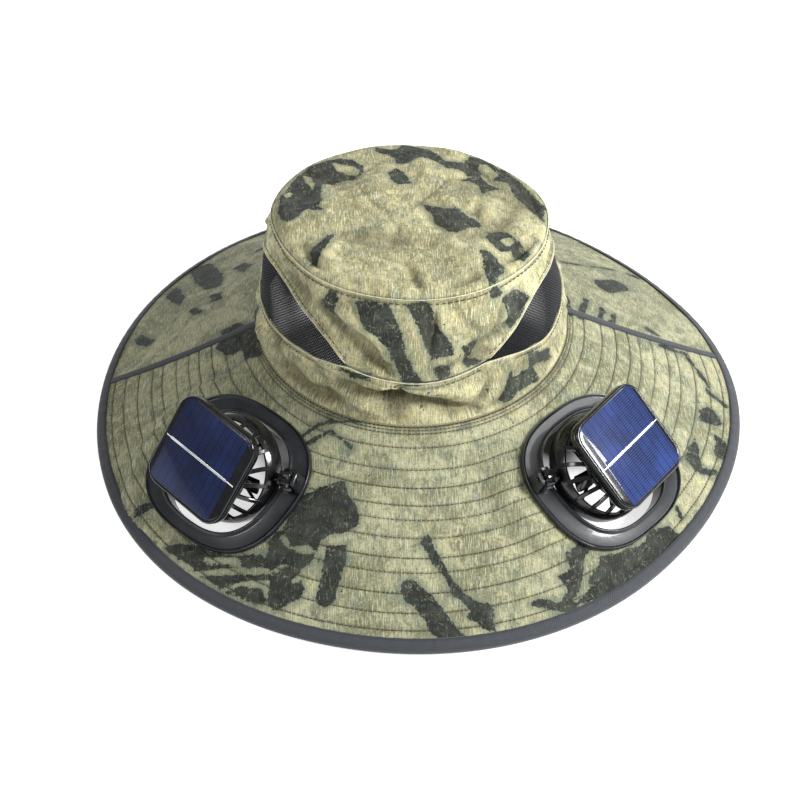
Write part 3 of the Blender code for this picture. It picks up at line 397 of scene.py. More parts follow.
def vent_limits(angle):
    """Lower and upper edge of the vents, or the band line twice where there is none."""
    rows = np.array(VENT_ROWS)
    low, high = 0.0, 0.0
    for off in (-2.0, -1.0, 0.0, 1.0, 2.0):
        turn = np.abs((np.degrees(angle) + 180.0) % 360.0 - 180.0) + off
        front = BAND_SHARE + (rows[0, 1] + 0.01 - BAND_SHARE) * np.clip(turn / rows[0, 0], 0.0, 1.0) ** 2
        left = (180.0 - turn) / (180.0 - rows[-1, 0])
        back = BAND_SHARE + (rows[-1, 1] + 0.02 - BAND_SHARE) * np.clip(left, 0.0, 1.0) ** 2
        level = np.where(turn < 90.0, front, back)
        bare = (turn <= rows[0, 0]) | (turn >= rows[-1, 0])
        low = low + np.where(bare, level, np.interp(turn, rows[:, 0], rows[:, 1])) / 5
        high = high + np.where(bare, level, np.interp(turn, rows[:, 0], rows[:, 2])) / 5
    return low, high


# Marks on the cloth: distance to the blotches, folds, wrinkles and creases


def line_distance(x, y, points):
    """Distance to a line through points, and the share along it."""
    best = np.full(np.shape(x), 1e9)
    share = np.zeros(np.shape(x))
    count = len(points) - 1
    for index, ((ax, ay), (bx, by)) in enumerate(zip(points[:-1], points[1:])):
        dx, dy = bx - ax, by - ay
        t = np.clip(((x - ax) * dx + (y - ay) * dy) / max(dx * dx + dy * dy, 1e-9), 0.0, 1.0)
        far = np.hypot(x - ax - t * dx, y - ay - t * dy)
        share = np.where(far < best, (index + t) / count, share)
        best = np.minimum(best, far)
    return best, share


def area_distance(x, y, points):
    """Signed distance to the edge of an area, negative inside."""
    closed = list(points) + [points[0]]
    inside = np.zeros(np.shape(x), bool)
    for (ax, ay), (bx, by) in zip(closed[:-1], closed[1:]):
        if ay != by:
            inside ^= ((ay > y) != (by > y)) & (x < (bx - ax) * (y - ay) / (by - ay) + ax)
    far = line_distance(x, y, closed)[0]
    return np.where(inside, -far, far)


def to_mm(kind, points):
    """Table places as flat millimetres."""
    if kind != "wall":
        return [(float(a), float(b)) for a, b in points]
    return [(math.radians(a) * WALL_RADIUS, float(b)) for a, b in points]


def blot_distance(kind, x, y):
    """Signed distance to the blotches in mm, negative inside, at most BLOT_REACH."""
    far = np.full(np.shape(x), BLOT_REACH)
    for what, join, sign in (("dark", np.minimum, 1.0), ("bare", np.maximum, -1.0)):
        for points in BLOT_AREAS.get((kind, what), ()):
            far = join(far, sign * area_distance(x, y, to_mm(kind, points)))
        for radius, points in BLOT_STROKES.get((kind, what), ()):
            far = join(far, sign * (line_distance(x, y, to_mm(kind, points))[0] - radius))
    return far


def fold_height(kind, x, y):
    """Height of the folds in mm."""
    total = np.zeros(np.shape(x))
    for depth, width, points in FOLDS[kind]:
        far, share = line_distance(x, y, to_mm(kind, points))
        total += depth * bell(far, width) * np.sin(math.pi * (0.08 + 0.84 * share))
    return total


def wrinkle_height(x, y, size, seed):
    """Small uneven wrinkles in mm, about 1 at most."""
    random = np.random.default_rng(seed)
    total = np.zeros(np.shape(x))
    for _count in range(WRINKLES):
        turn = random.uniform(0, math.pi)
        length = size * random.uniform(0.6, 1.8)
        sway = 2.0 * np.sin((x * math.sin(turn) + y * math.cos(turn)) / (length * 1.7) + random.uniform(0, TAU))
        total += np.sin((x * math.cos(turn) - y * math.sin(turn)) * TAU / length + sway + random.uniform(0, TAU))
    return total / WRINKLES ** 0.5 / 1.6


def crease_height(x, y, size, seed, count):
    """Sharp short creases in mm, about 1 at most."""
    random = np.random.default_rng(seed)
    total = np.zeros(np.shape(x))
    middle_x, middle_y = (x.min() + x.max()) / 2, (y.min() + y.max()) / 2
    half_x, half_y = (x.max() - x.min()) / 2, (y.max() - y.min()) / 2
    for _count in range(count):
        at_x = middle_x + random.uniform(-1, 1) * half_x
        at_y = middle_y + random.uniform(-1, 1) * half_y
        turn = random.uniform(0, math.pi)
        along = (x - at_x) * math.cos(turn) + (y - at_y) * math.sin(turn)
        across = -(x - at_x) * math.sin(turn) + (y - at_y) * math.cos(turn)
        length = size * random.uniform(0.7, 1.8)
        across = across + length * 0.16 * np.sin(along / length * 2.0 + random.uniform(0, TAU))
        width = size * random.uniform(0.10, 0.26)
        height = random.choice((-1.0, 0.8)) * random.uniform(0.4, 1.0)
        total += height * bell(along, length) * np.exp(-np.abs(across) / width)
    return total


# Materials


def tone(red, green, blue):
    """Colour from screen values."""
    screen = (red / 255, green / 255, blue / 255)
    return tuple(v / 12.92 if v < 0.04045 else ((v + 0.055) / 1.055) ** 2.4 for v in screen) + (1.0,)


class Paint:
    """A material made from nodes."""

    def __init__(self, name, slot_name, **sockets):
        self.material = bpy.data.materials.new(name)
        self.material.use_nodes = True
        self.tree = self.material.node_tree
        self.shader = self.tree.nodes["Principled BSDF"]
        self.slot_name = slot_name
        for key, value in sockets.items():
            self.shader.inputs[key.replace("_", " ")].default_value = value

    def put(self, socket, value):
        if isinstance(value, bpy.types.NodeSocket):
            self.tree.links.new(value, socket)
        else:
            socket.default_value = value

    def make(self, kind, output, inputs, **settings):
        """Add a node, set or link its inputs, and give one of its outputs."""
        node = self.tree.nodes.new(kind)
        for key, value in settings.items():
            setattr(node, key, value)
        for key, value in inputs.items():
            self.put(node.inputs[key], value)
        return node.outputs[output]

    def attribute(self, name, output="Fac"):
        return self.make("ShaderNodeAttribute", output, {}, attribute_name=name)

    def place(self):
        return self.make("ShaderNodeTexCoord", "Object", {})

    def stretch(self, vector, x, y, z=1.0):
        return self.make("ShaderNodeVectorMath", "Vector", {0: vector, 1: (x, y, z)}, operation="MULTIPLY")

    def noise(self, vector, scale, detail=3.0, rough=0.55, distort=0.0):
        inputs = {"Vector": vector, "Scale": scale, "Detail": detail, "Roughness": rough, "Distortion": distort}
        return self.make("ShaderNodeTexNoise", "Fac", inputs)

    def bands(self, vector, direction, inputs):
        settings = {"wave_type": "BANDS", "bands_direction": direction, "wave_profile": "SIN"}
        return self.make("ShaderNodeTexWave", "Fac", {"Vector": vector, **inputs}, **settings)

    def maths(self, operation, first, second=0.0):
        return self.make("ShaderNodeMath", "Value", {0: first, 1: second}, operation=operation)

    def plus(self, first, second):
        return self.maths("ADD", first, second)

    def times(self, first, second):
        return self.maths("MULTIPLY", first, second)

    def step(self, value, low, high, start=0.0, end=1.0):
        inputs = {"Value": value, "From Min": low, "From Max": high, "To Min": start, "To Max": end}
        return self.make("ShaderNodeMapRange", "Result", inputs, interpolation_type="SMOOTHSTEP")

    def mix(self, share, first, second):
        return self.make("ShaderNodeMix", 2, {0: share, 6: first, 7: second}, data_type="RGBA")

    def bump(self, height, strength, distance):
        return self.make("ShaderNodeBump", "Normal", {"Height": height, "Strength": strength, "Distance": distance})

    def finish(self, colour, rough, normal=None):
        self.put(self.shader.inputs["Base Color"], colour)
        self.put(self.shader.inputs["Roughness"], rough)
        if normal is not None:
            self.put(self.shader.inputs["Normal"], normal)
        return self


def camo_paint(name, light, green):
    """Printed slub cloth with a mottled ground and dark blotches. green is how far its ground leans to grey-green.
    light scales all its colours down as painted shade: a little for the brim's copy, much for the copy inside the hat.
    """
    paint = Paint(name, "camo_cloth", Specular_IOR_Level=0.22, Sheen_Weight=0.06, Sheen_Roughness=0.5)
    flat = paint.attribute("flat", "Vector")

    def ink(red, mid_green, blue):
        return tone(light * red, light * mid_green, light * blue)

    def hue(red, mid_green, blue):
        grey = (red + mid_green + blue) / 3.0
        share = 0.26 * green
        return ink(red + (grey - red) * share - 3.0 * green, mid_green, blue + (grey - blue) * share)

    patch = paint.noise(flat, 0.11, 5.0, 0.66, 0.6)
    brushed = paint.noise(paint.stretch(flat, 0.30, 0.15), 1.0, 5.0, 0.72, 0.6)
    cloud = paint.noise(flat, 0.30, 6.0, 0.74, 1.2)
    stain = paint.noise(paint.stretch(flat, 1.0, 0.6), 0.24, 5.0, 0.7, 0.9)
    grain = paint.noise(flat, 0.95, 4.0, 0.75)
    speck = paint.noise(flat, 2.2, 2.0, 0.6)
    slub = paint.noise(paint.stretch(flat, 1.9, 0.15), 1.0, 3.0, 0.6)
    thread = paint.noise(paint.stretch(flat, 0.16, 2.2), 1.0, 2.0, 0.6)
    edge = paint.times(paint.maths("SUBTRACT", paint.noise(flat, 0.55, 6.0, 0.80), 0.5), 4.6)
    wide = paint.times(paint.maths("SUBTRACT", paint.noise(flat, 0.12, 3.0, 0.5), 0.5), 5.0)
    reach = paint.plus(paint.plus(paint.attribute("blot"), edge), wide)
    pale, olive, grey = hue(216, 209, 164), hue(116, 112, 76), hue(128, 135, 112)
    ground = paint.mix(paint.step(paint.noise(flat, 0.035, 4.0, 0.60), 0.37, 0.61, 0.12, 0.86), olive, pale)
    # Layers of the ground: pattern, its value at share 0, its value at the full share, the full share, colour
    layers = (
        (patch, 0.44, 0.58, 0.60, hue(168, 161, 118)), (patch, 0.53, 0.61, 0.85, grey),
        (patch, 0.46, 0.36, 0.75, hue(222, 208, 150)), (brushed, 0.53, 0.66, 0.42, hue(128, 117, 82)),
        (brushed, 0.47, 0.34, 0.50, hue(222, 216, 178)), (cloud, 0.55, 0.68, 0.50, grey),
        (grain, 0.50, 0.70, 0.60, pale), (grain, 0.50, 0.34, 0.68, olive),
        (slub, 0.52, 0.66, 0.80, hue(230, 225, 190)), (slub, 0.47, 0.33, 0.55, olive),
        (stain, 0.56, 0.66, 0.34, hue(98, 92, 62)), (speck, 0.58, 0.70, 0.40, hue(92, 86, 58)),
        (reach, 3.4, 0.3, 0.60, grey),
    )
    for pattern, low, high, share, colour in layers:
        ground = paint.mix(paint.step(pattern, low, high, 0.0, share), ground, colour)
    inside = paint.times(paint.step(reach, 0.22, -0.22), paint.step(slub, 0.58, 0.72, 1.0, 0.50))
    rub = paint.step(paint.noise(flat, 0.42, 6.0, 0.80, 0.8), 0.565, 0.61, 0.0, 0.80)
    rub = paint.times(rub, paint.step(reach, -9.0, -1.0, 0.35, 1.0))
    inside = paint.times(inside, paint.maths("SUBTRACT", 1.0, rub))
    fleck = paint.step(paint.noise(flat, 0.34, 3.0, 0.5, 0.4), 0.715, 0.735, 0.0, 0.85)
    dark = paint.mix(paint.step(patch, 0.40, 0.64), ink(40, 44, 41), ink(66, 71, 64))
    dark = paint.mix(paint.step(grain, 0.52, 0.74, 0.0, 0.35), dark, ink(90, 94, 84))
    colour = paint.mix(paint.maths("MAXIMUM", inside, fleck), ground, dark)
    # Painted shade: darker in creases, fold valleys and sewn grooves, from the groove mark
    colour = paint.mix(paint.times(paint.attribute("groove"), 0.72), colour, tone(54, 49, 32))
    yarns = {"Scale": WEAVE_SCALE, "Distortion": 1.2, "Detail": 1.0, "Detail Scale": 0.6}
    weave = paint.plus(paint.bands(flat, "X", yarns), paint.bands(flat, "Y", yarns))
    height = paint.plus(paint.times(weave, 0.3), paint.plus(slub, thread))
    return paint.finish(colour, paint.step(grain, 0.3, 0.7, 0.62, 0.86), paint.bump(height, 0.70, 0.3 * MM))


def tape_paint(name, *screen):
    """Slate tape with a fine slanting weave."""
    paint = Paint(name, "slate_tape", Specular_IOR_Level=0.3, Sheen_Weight=0.25, Sheen_Roughness=0.45)
    flat = paint.attribute("flat", "Vector")
    grain = paint.noise(flat, 0.8, 4.0, 0.7)
    streak = paint.noise(paint.stretch(flat, 0.10, 1.4), 1.0, 3.0, 0.6)
    colour = paint.mix(streak, tone(*(v * 0.84 for v in screen)), tone(*(v * 1.18 for v in screen)))
    red, green, blue = screen
    colour = paint.mix(paint.times(grain, 0.35), colour, tone(red * 0.7, green * 0.7, blue * 0.75))
    # Painted shade: darker along the sewn lines, from the groove mark
    colour = paint.mix(paint.times(paint.attribute("groove"), 0.7), colour, tone(30, 31, 34))
    slant = paint.bands(flat, "DIAGONAL", {"Scale": 0.45, "Distortion": 0.8})
    return paint.finish(colour, 0.72, paint.bump(paint.plus(slant, grain), 0.5, 0.2 * MM))


def thread_paint(name, dark, pale):
    """Sewing thread."""
    paint = Paint(name, "camo_cloth", Specular_IOR_Level=0.35, Sheen_Weight=0.2)
    grain = paint.noise(paint.stretch(paint.place(), 1000.0, 1000.0, 1000.0), 0.9, 2.0)
    return paint.finish(paint.mix(grain, tone(*dark), tone(*pale)), 0.6)


def gloss_paint(name, slot_name, screen, rough, wear=0.10, metal=0.0):
    """Moulded plastic or metal with faint flow marks and fine scratches."""
    paint = Paint(
        name, slot_name, Specular_IOR_Level=0.42, Coat_Weight=0.25, Coat_Roughness=0.06, Metallic=metal
    )
    base = tone(*screen)
    where = paint.stretch(paint.place(), 1000.0, 1000.0, 1000.0)
    cloud = paint.noise(where, 0.09, 4.0, 0.6)
    scratch = paint.noise(paint.stretch(where, 0.25, 2.6, 0.6), 0.8, 4.0, 0.7)
    worn = tuple(min(1.0, v * 1.9 + 0.004) for v in base[:3]) + (1.0,)
    colour = paint.mix(paint.step(cloud, 0.35, 0.7), base, worn)
    normal = paint.bump(paint.plus(cloud, paint.times(scratch, 0.12)), 0.10, 0.4 * MM)
    return paint.finish(colour, paint.plus(paint.step(scratch, 0.45, 0.75, 0.0, wear), rough), normal)


def cell_paint(name, bright):
    """Solar cell under clear resin: strips with dark gaps and fine grid lines. bright scales its blues: the left
    cell's copy is darker, as painted shade.
    """
    paint = Paint(name, "solar_cell", Coat_Weight=0.35, Coat_Roughness=0.03, Specular_IOR_Level=0.08)
    flat = paint.attribute("flat", "Vector")

    def blue(*colour):
        return tuple(v * bright for v in colour) + (1.0,)

    def lines(axis, pitch, width):
        value = paint.make("ShaderNodeSeparateXYZ", axis, {0: flat})
        share = paint.maths("FRACT", paint.maths("DIVIDE", value, pitch))
        middle = paint.maths("ABSOLUTE", paint.maths("SUBTRACT", share, 0.5))
        return paint.step(middle, 0.5 - width / pitch, 0.5 - width / pitch / 3)

    cloud = paint.noise(flat, 0.06, 3.0)
    grain = paint.noise(flat, 1.6, 3.0, 0.7)
    base = paint.mix(paint.step(cloud, 0.3, 0.7), blue(0.010, 0.020, 0.085), blue(0.030, 0.062, 0.270))
    base = paint.mix(paint.step(grain, 0.35, 0.75, 0.0, 0.4), base, blue(0.05, 0.10, 0.38))
    # Lines: axis across them, pitch and width in mm, share, colour
    for axis, pitch, width, share, colour in (
        ("Y", 1.3, 0.16, 0.45, blue(0.16, 0.22, 0.42)),
        ("X", 1.48, 0.12, 0.35, (0.004, 0.006, 0.02, 1.0)),
        ("X", 4.45, 0.30, 0.85, (0.004, 0.006, 0.016, 1.0)),
    ):
        base = paint.mix(paint.times(lines(axis, pitch, width), share), base, colour)
    return paint.finish(base, 0.42, paint.bump(grain, 0.08, 0.1 * MM))


# The cloth copies differ in painted shade: the brim's copy a little darker, the copy inside the hat much darker.
CAMO = camo_paint("camo_cloth_face", 0.98, 0.25)
CAMO_BRIM = camo_paint("camo_brim_face", 0.85, 0.8)
CAMO_IN_SHADED = camo_paint("camo_cloth_inside_shaded", 0.36, 1.0)
TAPE = tape_paint("slate_tape_face", 60, 62, 66)
BINDING = tape_paint("slate_binding_face", 60, 63, 67)
THREAD = thread_paint("thread_brown", (38, 33, 20), (70, 62, 42))
THREAD_DARK = thread_paint("thread_dark", (34, 35, 38), (60, 62, 66))
# Painted shadow: colour of the dark tube that stands for the shadow line where band meets brim
SEAM_SHADOW = thread_paint("seam_shadow_line", (104, 100, 72), (140, 135, 100))
PALE_EDGE = thread_paint("pale_edge", (182, 177, 142), (222, 218, 190))
BLACK = gloss_paint("gloss_black", "gloss_plastic", (9, 11, 14), 0.16)
RING_BLACK = gloss_paint("gloss_ring", "gloss_plastic", (16, 19, 24), 0.36, 0.14)
CAGE_BLACK = gloss_paint("gloss_cage", "gloss_plastic", (9, 10, 12), 0.18)
METAL = gloss_paint("motor_can", "motor_metal", (150, 150, 152), 0.30, metal=1.0)
BUS = gloss_paint("bus_strip", "bus_silver", (205, 210, 206), 0.38, metal=0.55)
# The two cells are the same part, drawn at two brightnesses: painted shade on the left one
CELLS = {"left": cell_paint("cell_left_face", 0.30), "right": cell_paint("cell_right_face", 0.62)}
MESH_YARN = Paint("mesh_yarn", "mesh_black", Specular_IOR_Level=0.3, Sheen_Weight=0.05)
mesh_grain = MESH_YARN.noise(MESH_YARN.attribute("flat", "Vector"), 0.7)
MESH_YARN.finish(MESH_YARN.mix(mesh_grain, tone(5, 6, 8), tone(18, 21, 30)), 0.6)


# Mesh building


def add_piece(name, points, faces, paint, body, marks=None):
    """Make a piece from points and faces, riding on a body."""
    mesh = bpy.data.meshes.new(name)
    mesh.from_pydata([tuple(p) for p in np.asarray(points).reshape(-1, 3)], [], [tuple(f) for f in faces])
    for mark, values in (marks or {}).items():
        values = np.asarray(values, float)
        kind, key = ("FLOAT_VECTOR", "vector") if mark == "flat" else ("FLOAT", "value")
        mesh.attributes.new(mark, kind, "POINT").data.foreach_set(key, values.ravel())
    mesh.shade_smooth()
    mesh.materials.append(paint.material)
    piece = bpy.data.objects.new(name, mesh)
    bpy.context.scene.collection.objects.link(piece)
    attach(piece, body)
    return piece


PATTERN_SHIFT = 31.0  # mm for each letter of a name, so that the cloths differ


def grid_faces(rows, columns, closed):
    """Faces of a grid of points, columns along each row."""
    across = np.arange(columns if closed else columns - 1)
    after = (across + 1) % columns
    start = (np.arange(rows - 1) * columns)[:, None]
    quads = np.stack([start + across, start + after, start + columns + after, start + columns + across], axis=-1)
    return quads.reshape(-1, 4)


def grid_normals(points, closed):
    """Unit normals of a grid of points."""
    if closed:
        wide = np.concatenate([points[:, -1:], points, points[:, :1]], axis=1)
        across = wide[:, 2:] - wide[:, :-2]
    else:
        across = np.gradient(points, axis=1)
    normal = np.cross(np.gradient(points, axis=0), across)
    return normal / np.maximum(np.linalg.norm(normal, axis=-1, keepdims=True), 1e-12)


def thicken(piece, thick):
    """Give a sheet its thickness, on the inside."""
    wall = piece.modifiers.new("wall", "SOLIDIFY")
    wall.thickness = thick
    wall.offset = -1.0
    return wall


def cloth(name, points, relief, flat, kind, paints, thick, node, closed=False, groove=None, keep=None, up=(0, 0, 1)):
    """A sheet of cloth from a grid of points, with relief in mm along its outward normal."""
    normal = grid_normals(points, closed)
    reference = np.asarray(up, float) if np.ndim(up) == 1 else up
    if np.mean(np.sum(normal * reference, axis=-1)) < 0:
        normal = -normal
    points = points + normal * (relief * MM)[..., None]
    rows, columns = points.shape[:2]
    faces = grid_faces(rows, columns, closed)
    first = points.reshape(-1, 3)[faces]
    turned = np.cross(first[:, 1] - first[:, 0], first[:, 3] - first[:, 0])
    if np.mean(np.sum(turned * normal.reshape(-1, 3)[faces[:, 0]], axis=-1)) < 0:
        faces = faces[:, ::-1]
    if keep is not None:
        faces = faces[keep.reshape(-1)[faces].all(axis=1)]
    x, y = flat
    marks = {
        "flat": np.stack([x, y, np.full(x.shape, PATTERN_SHIFT * len(name))], axis=-1).reshape(-1, 3),
        "blot": blot_distance(kind, x, y).ravel(),
        # The groove mark is painted shade: creases, fold valleys and sewn grooves are drawn darker by the paints
        "groove": (np.zeros(x.shape) if groove is None else groove).ravel(),
    }
    piece = add_piece(name, points, faces, paints[0], "hat", marks)
    wall = thicken(piece, thick)
    # The inside paint goes on the inner shell: a darker copy of the cloth, as painted shade inside the hat
    for inside in paints[1:]:
        piece.data.materials.append(inside.material)
        wall.material_offset = 1
        wall.material_offset_rim = 0
    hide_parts(node)


def share_grid(columns, rows, closed=False):
    """Two arrays of shares for a grid."""
    across = np.linspace(0.0, 1.0, columns, endpoint=not closed)
    return np.meshgrid(across, np.linspace(0.0, 1.0, rows))


def resample(points, pitch, closed=False):
    """Even points along a line, with the directions there."""
    points = np.asarray(points, float)
    if closed:
        points = np.concatenate([points, points[:1]])
    lengths = np.concatenate([[0.0], np.cumsum(np.linalg.norm(np.diff(points, axis=0), axis=1))])
    count = max(2, int(round(lengths[-1] / pitch)))
    places = (np.arange(count) + 0.5) / count * lengths[-1]
    before, middle, ahead = (
        np.stack([np.interp(places + off * pitch, lengths, points[:, k]) for k in range(3)], axis=1)
        for off in (-0.3, 0.0, 0.3)
    )
    return middle, unit(ahead - before)


# Shares of a stitch's length, width and height
STITCH_RINGS = ((-0.5, 0.25, -0.6), (-0.32, 0.9, 0.15), (0.0, 1.0, 0.4), (0.32, 0.9, 0.15), (0.5, 0.25, -0.6))
STITCH_SIDES = 6


class Stitches:
    """Stitches gathered into one mesh."""

    def __init__(self):
        self.points = []
        self.faces = []
        self.count = 0

    def add(self, line, normals, pitch, length, radius, closed=False):
        """Sew along a line, with pitch, length and radius in mm."""
        middle, way = resample(line, pitch * MM, closed)
        nearest = [np.argmin(((line - m) ** 2).sum(axis=1)) for m in middle]
        side = unit(np.cross(way, normals[nearest]))
        up = np.cross(side, way)
        shape = MM * np.array([
            (along * length, math.cos(a) * width * radius, math.sin(a) * width * radius * 0.8 + height * radius)
            for along, width, height in STITCH_RINGS for a in np.linspace(0, TAU, STITCH_SIDES, endpoint=False)
        ])
        axes = np.stack([way, side, up], axis=1)
        points = middle[:, None] + np.einsum("pk,nkd->npd", shape, axes)
        faces = grid_faces(len(STITCH_RINGS), STITCH_SIDES, True)
        for index in range(len(middle)):
            self.faces.append(faces + self.count + index * len(shape))
        self.points.append(points.reshape(-1, 3))
        self.count += len(middle) * len(shape)

    def piece(self, name, paint):
        return add_piece(name, np.concatenate(self.points), np.concatenate(self.faces), paint, "hat")


def tube(line, radius, sides, closed):
    """Points and faces of a tube along a line."""
    count = len(line)
    way = unit(np.roll(line, -1, axis=0) - np.roll(line, 1, axis=0) if closed else np.gradient(line, axis=0))
    side = unit(np.cross(way, (0.0, 0.0, 1.0)))
    rise = np.cross(side, way)
    turn = np.linspace(0, TAU, sides, endpoint=False)[None, :, None]
    radius = np.broadcast_to(radius, (count,))[:, None, None]
    points = line[:, None] + radius * (np.cos(turn) * side[:, None] + np.sin(turn) * rise[:, None])
    faces = list(grid_faces(count + 1 if closed else count, sides, True) % (count * sides))
    if not closed:
        faces += [range(sides)[::-1], range((count - 1) * sides, count * sides)]
    return points.reshape(-1, 3), faces


def welt(name, line, radius, sides, closed=True, paint=PALE_EDGE):
    """Thin rolled edge along a line."""
    points, faces = tube(line, radius, sides, closed)
    add_piece(name, points, faces, paint, "hat")


# Brim

GROOVE_WIDTH = 0.55
BRIM_CLOTH = 1.1 * MM
CROWN_CLOTH = 1.0 * MM
TAPE_WIDTH = 5.2
TAPE_SEWN = 0.36
TAPE_SPAN = 0.945


def brim_limit(angle, inset):
    """Share of the brim at a distance in from its edge."""
    return 1.0 - inset / brim_width(angle)


def brim_grid(first, last, turn, columns, rows):
    """Angles and shares over a brim panel."""
    u, v = share_grid(columns, rows)
    rough = 0.05 + 0.9 * v
    start = seam_angle(first, rough)
    end = seam_angle(last, rough) + turn
    inset = GAP / 2 / np.linalg.norm(brim_cone(start, rough)[..., :2], axis=-1)
    angle = start + inset + (end - start - 2 * inset) * u
    low = 2 * GAP / brim_width(angle)
    return angle, low + (brim_limit(angle, 1.6 * MM) - low) * v


angle, share = brim_grid("left", "right", 0.0, 300, 128)
points = brim_point(angle, share)
plan_x, plan_y = points[..., 0] / MM, points[..., 1] / MM
width = brim_width(angle) / MM
row_gap = np.full(angle.shape, 99.0)
for row in BRIM_ROWS:
    row_gap = np.minimum(row_gap, np.abs(share - row) * width)
# The stitch rows sink into grooves; the same mask, passed as the groove mark, is painted shade in them
groove = bell(row_gap, GROOVE_WIDTH)
puff = np.clip(row_gap / 4.0, 0.0, 1.0) ** 0.6
relief = 0.28 * puff - 0.32 * groove + 0.30 * wrinkle_height(plan_x, plan_y, 26.0, 5) * puff
pucker = np.sin(angle * 150.0 + 4.0 * np.sin(angle * 23.0)) * bell(row_gap, 1.6)
relief = relief + 0.10 * pucker
keep = np.ones(angle.shape, bool)
for ring in FRAMES.values():
    reach = ring_reach(points, ring, 0.03)[0]
    keep &= reach >= 0.80
    relief = np.where(reach < 1.10, np.minimum(relief, 0.0), relief)
cloth(
    "brim_front_cloth", points, relief, (plan_x, plan_y), "brim", (CAMO_BRIM, CAMO_IN_SHADED), BRIM_CLOTH, "brim_front",
    groove=groove * 0.8, keep=keep,
)

angle, share = brim_grid("right", "left", TAU, 220, 64)
points = brim_point(angle, share)
plan_x, plan_y = points[..., 0] / MM, points[..., 1] / MM
relief = 0.35 * wrinkle_height(plan_x, plan_y, 40.0, 6)
cloth(
    "brim_back_cloth", points, relief, (plan_x, plan_y), "brim", (CAMO_BRIM, CAMO_IN_SHADED), BRIM_CLOTH, "brim_back",
)


def brim_line(first, last, share, count, lift):
    """Line round the brim at one share, with its normals."""
    along = np.linspace(first, last, count)
    shares = np.broadcast_to(share, along.shape)
    points = brim_point(along, shares)
    step = 1e-3
    normal = np.cross(
        brim_point(along, shares + step) - brim_point(along, shares - step),
        brim_point(along + step, shares) - brim_point(along - step, shares),
    )
    normal = unit(np.where(normal[:, 2:3] < 0, -normal, normal))
    return points + normal * lift, normal


rows = Stitches()
for row in BRIM_ROWS:
    first = float(seam_angle("left", row)) + 0.02
    last = float(seam_angle("right", row)) - 0.02
    line, normals = brim_line(first, last, row, 700, -0.02 * MM)
    clear = np.ones(len(line), bool)
    for ring in FRAMES.values():
        clear &= ring_reach(line, ring, 0.02)[0] >= 1.0
    runs = np.split(np.arange(len(line)), np.nonzero(np.diff(clear.astype(int)))[0] + 1)
    for run in runs:
        if len(run) > 4 and clear[run[0]]:
            rows.add(line[run], normals[run], 2.35, 1.70, 0.22)
rows.piece("brim_stitch_rows", THREAD)

# Seam tapes of the brim
for side in ("left", "right"):
    u, v = share_grid(9, 90)
    shares = TAPE_SPAN * v
    middle = seam_angle(side, shares)
    radius = np.linalg.norm(brim_cone(middle, shares)[..., :2], axis=-1)
    points = brim_point(middle + (u - 0.5) * TAPE_WIDTH * MM / radius, shares)
    relief = 0.55 + 0.35 * np.sin(math.pi * u) ** 0.5 + 0.08 * np.sin(v * 140.0) * np.abs(u - 0.5)
    # The groove mark here is painted shade along the tape's two sewn lines
    cloth(
        f"seam_tape_{side}_cloth", points, relief, (u * TAPE_WIDTH, v * 110.0), "none", (TAPE,), 0.8 * MM,
        f"seam_tape_{side}", groove=0.5 * bell((np.abs(u - 0.5) - TAPE_SEWN) * TAPE_WIDTH, 0.35),
    )
    sewn = Stitches()
    along = np.linspace(0.01, 0.93, 300)
    middle = seam_angle(side, along)
    radius = np.linalg.norm(brim_cone(middle, along)[:, :2], axis=-1)
    for edge in (-TAPE_SEWN, TAPE_SEWN):
        line = brim_point(middle + edge * TAPE_WIDTH * MM / radius, along)
        line[:, 2] += 0.78 * MM
        sewn.add(line, np.tile([0.0, 0.0, 1.0], (len(line), 1)), 2.6, 1.8, 0.20)
    sewn.piece(f"seam_tape_{side}_stitches", THREAD_DARK)

# Binding: a tape folded round the edge, with a flat foot
count = 640
turn = np.linspace(0.0, TAU, count, endpoint=False)
# Share of the binding's width from its inner edge, height in mm
BOW = (
    (-0.02, 0.62), (0.10, 0.86), (0.35, 0.98), (0.62, 1.00), (0.82, 0.90), (0.94, 0.55), (0.99, 0.0), (0.98, -0.8),
    (0.95, -1.6), (0.86, -2.05), (0.70, -2.20), (0.40, -2.20), (0.15, -1.9), (0.02, -1.2),
)
section = []
for out_share, rise in BOW:
    line = brim_cone(turn, brim_limit(turn, (1.0 - out_share) * BINDING_WIDTH))
    ripple = 0.10 * np.sin(turn * 170.0 + 2.0 * np.sin(turn * 31.0)) * (1.0 if rise > 0.5 else 0.0)
    level = brim_cone(turn, np.ones(count))[:, 2]
    if rise > 0:
        line[:, 2] = line[:, 2] + (rise * 0.9 + ripple) * MM
    else:
        line[:, 2] = np.maximum(level + rise * MM, 0.0) if out_share > 0.3 else line[:, 2] + rise * 0.9 * MM
    section.append(line)
points = np.stack(section)
points[..., 2] = np.maximum(points[..., 2], 0.0)
long_way = np.broadcast_to(turn * 198.0, points.shape[:2])
cross_way = np.broadcast_to(np.linspace(0, 15.0, len(BOW))[:, None], points.shape[:2])
# Painted shade along the binding's sewn line, near its inner edge
sewn_shade = np.zeros(points.shape[:2])
sewn_shade[1] = 0.6
binding = add_piece(
    "brim_binding_cloth", points, grid_faces(len(BOW), count, True), BINDING, "hat",
    {"flat": np.stack([long_way, cross_way, long_way * 0.0], axis=-1).reshape(-1, 3), "groove": sewn_shade.ravel()},
)
thicken(binding, 0.4 * MM)
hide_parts("brim_binding")
line, normals = brim_line(0.0, TAU, 0.9585, 1400, 0.0)
line[:, 2] += 0.88 * MM
sewn = Stitches()
sewn.add(line, normals, 2.7, 1.9, 0.20)
sewn.piece("brim_binding_stitches", THREAD_DARK)


# Crown


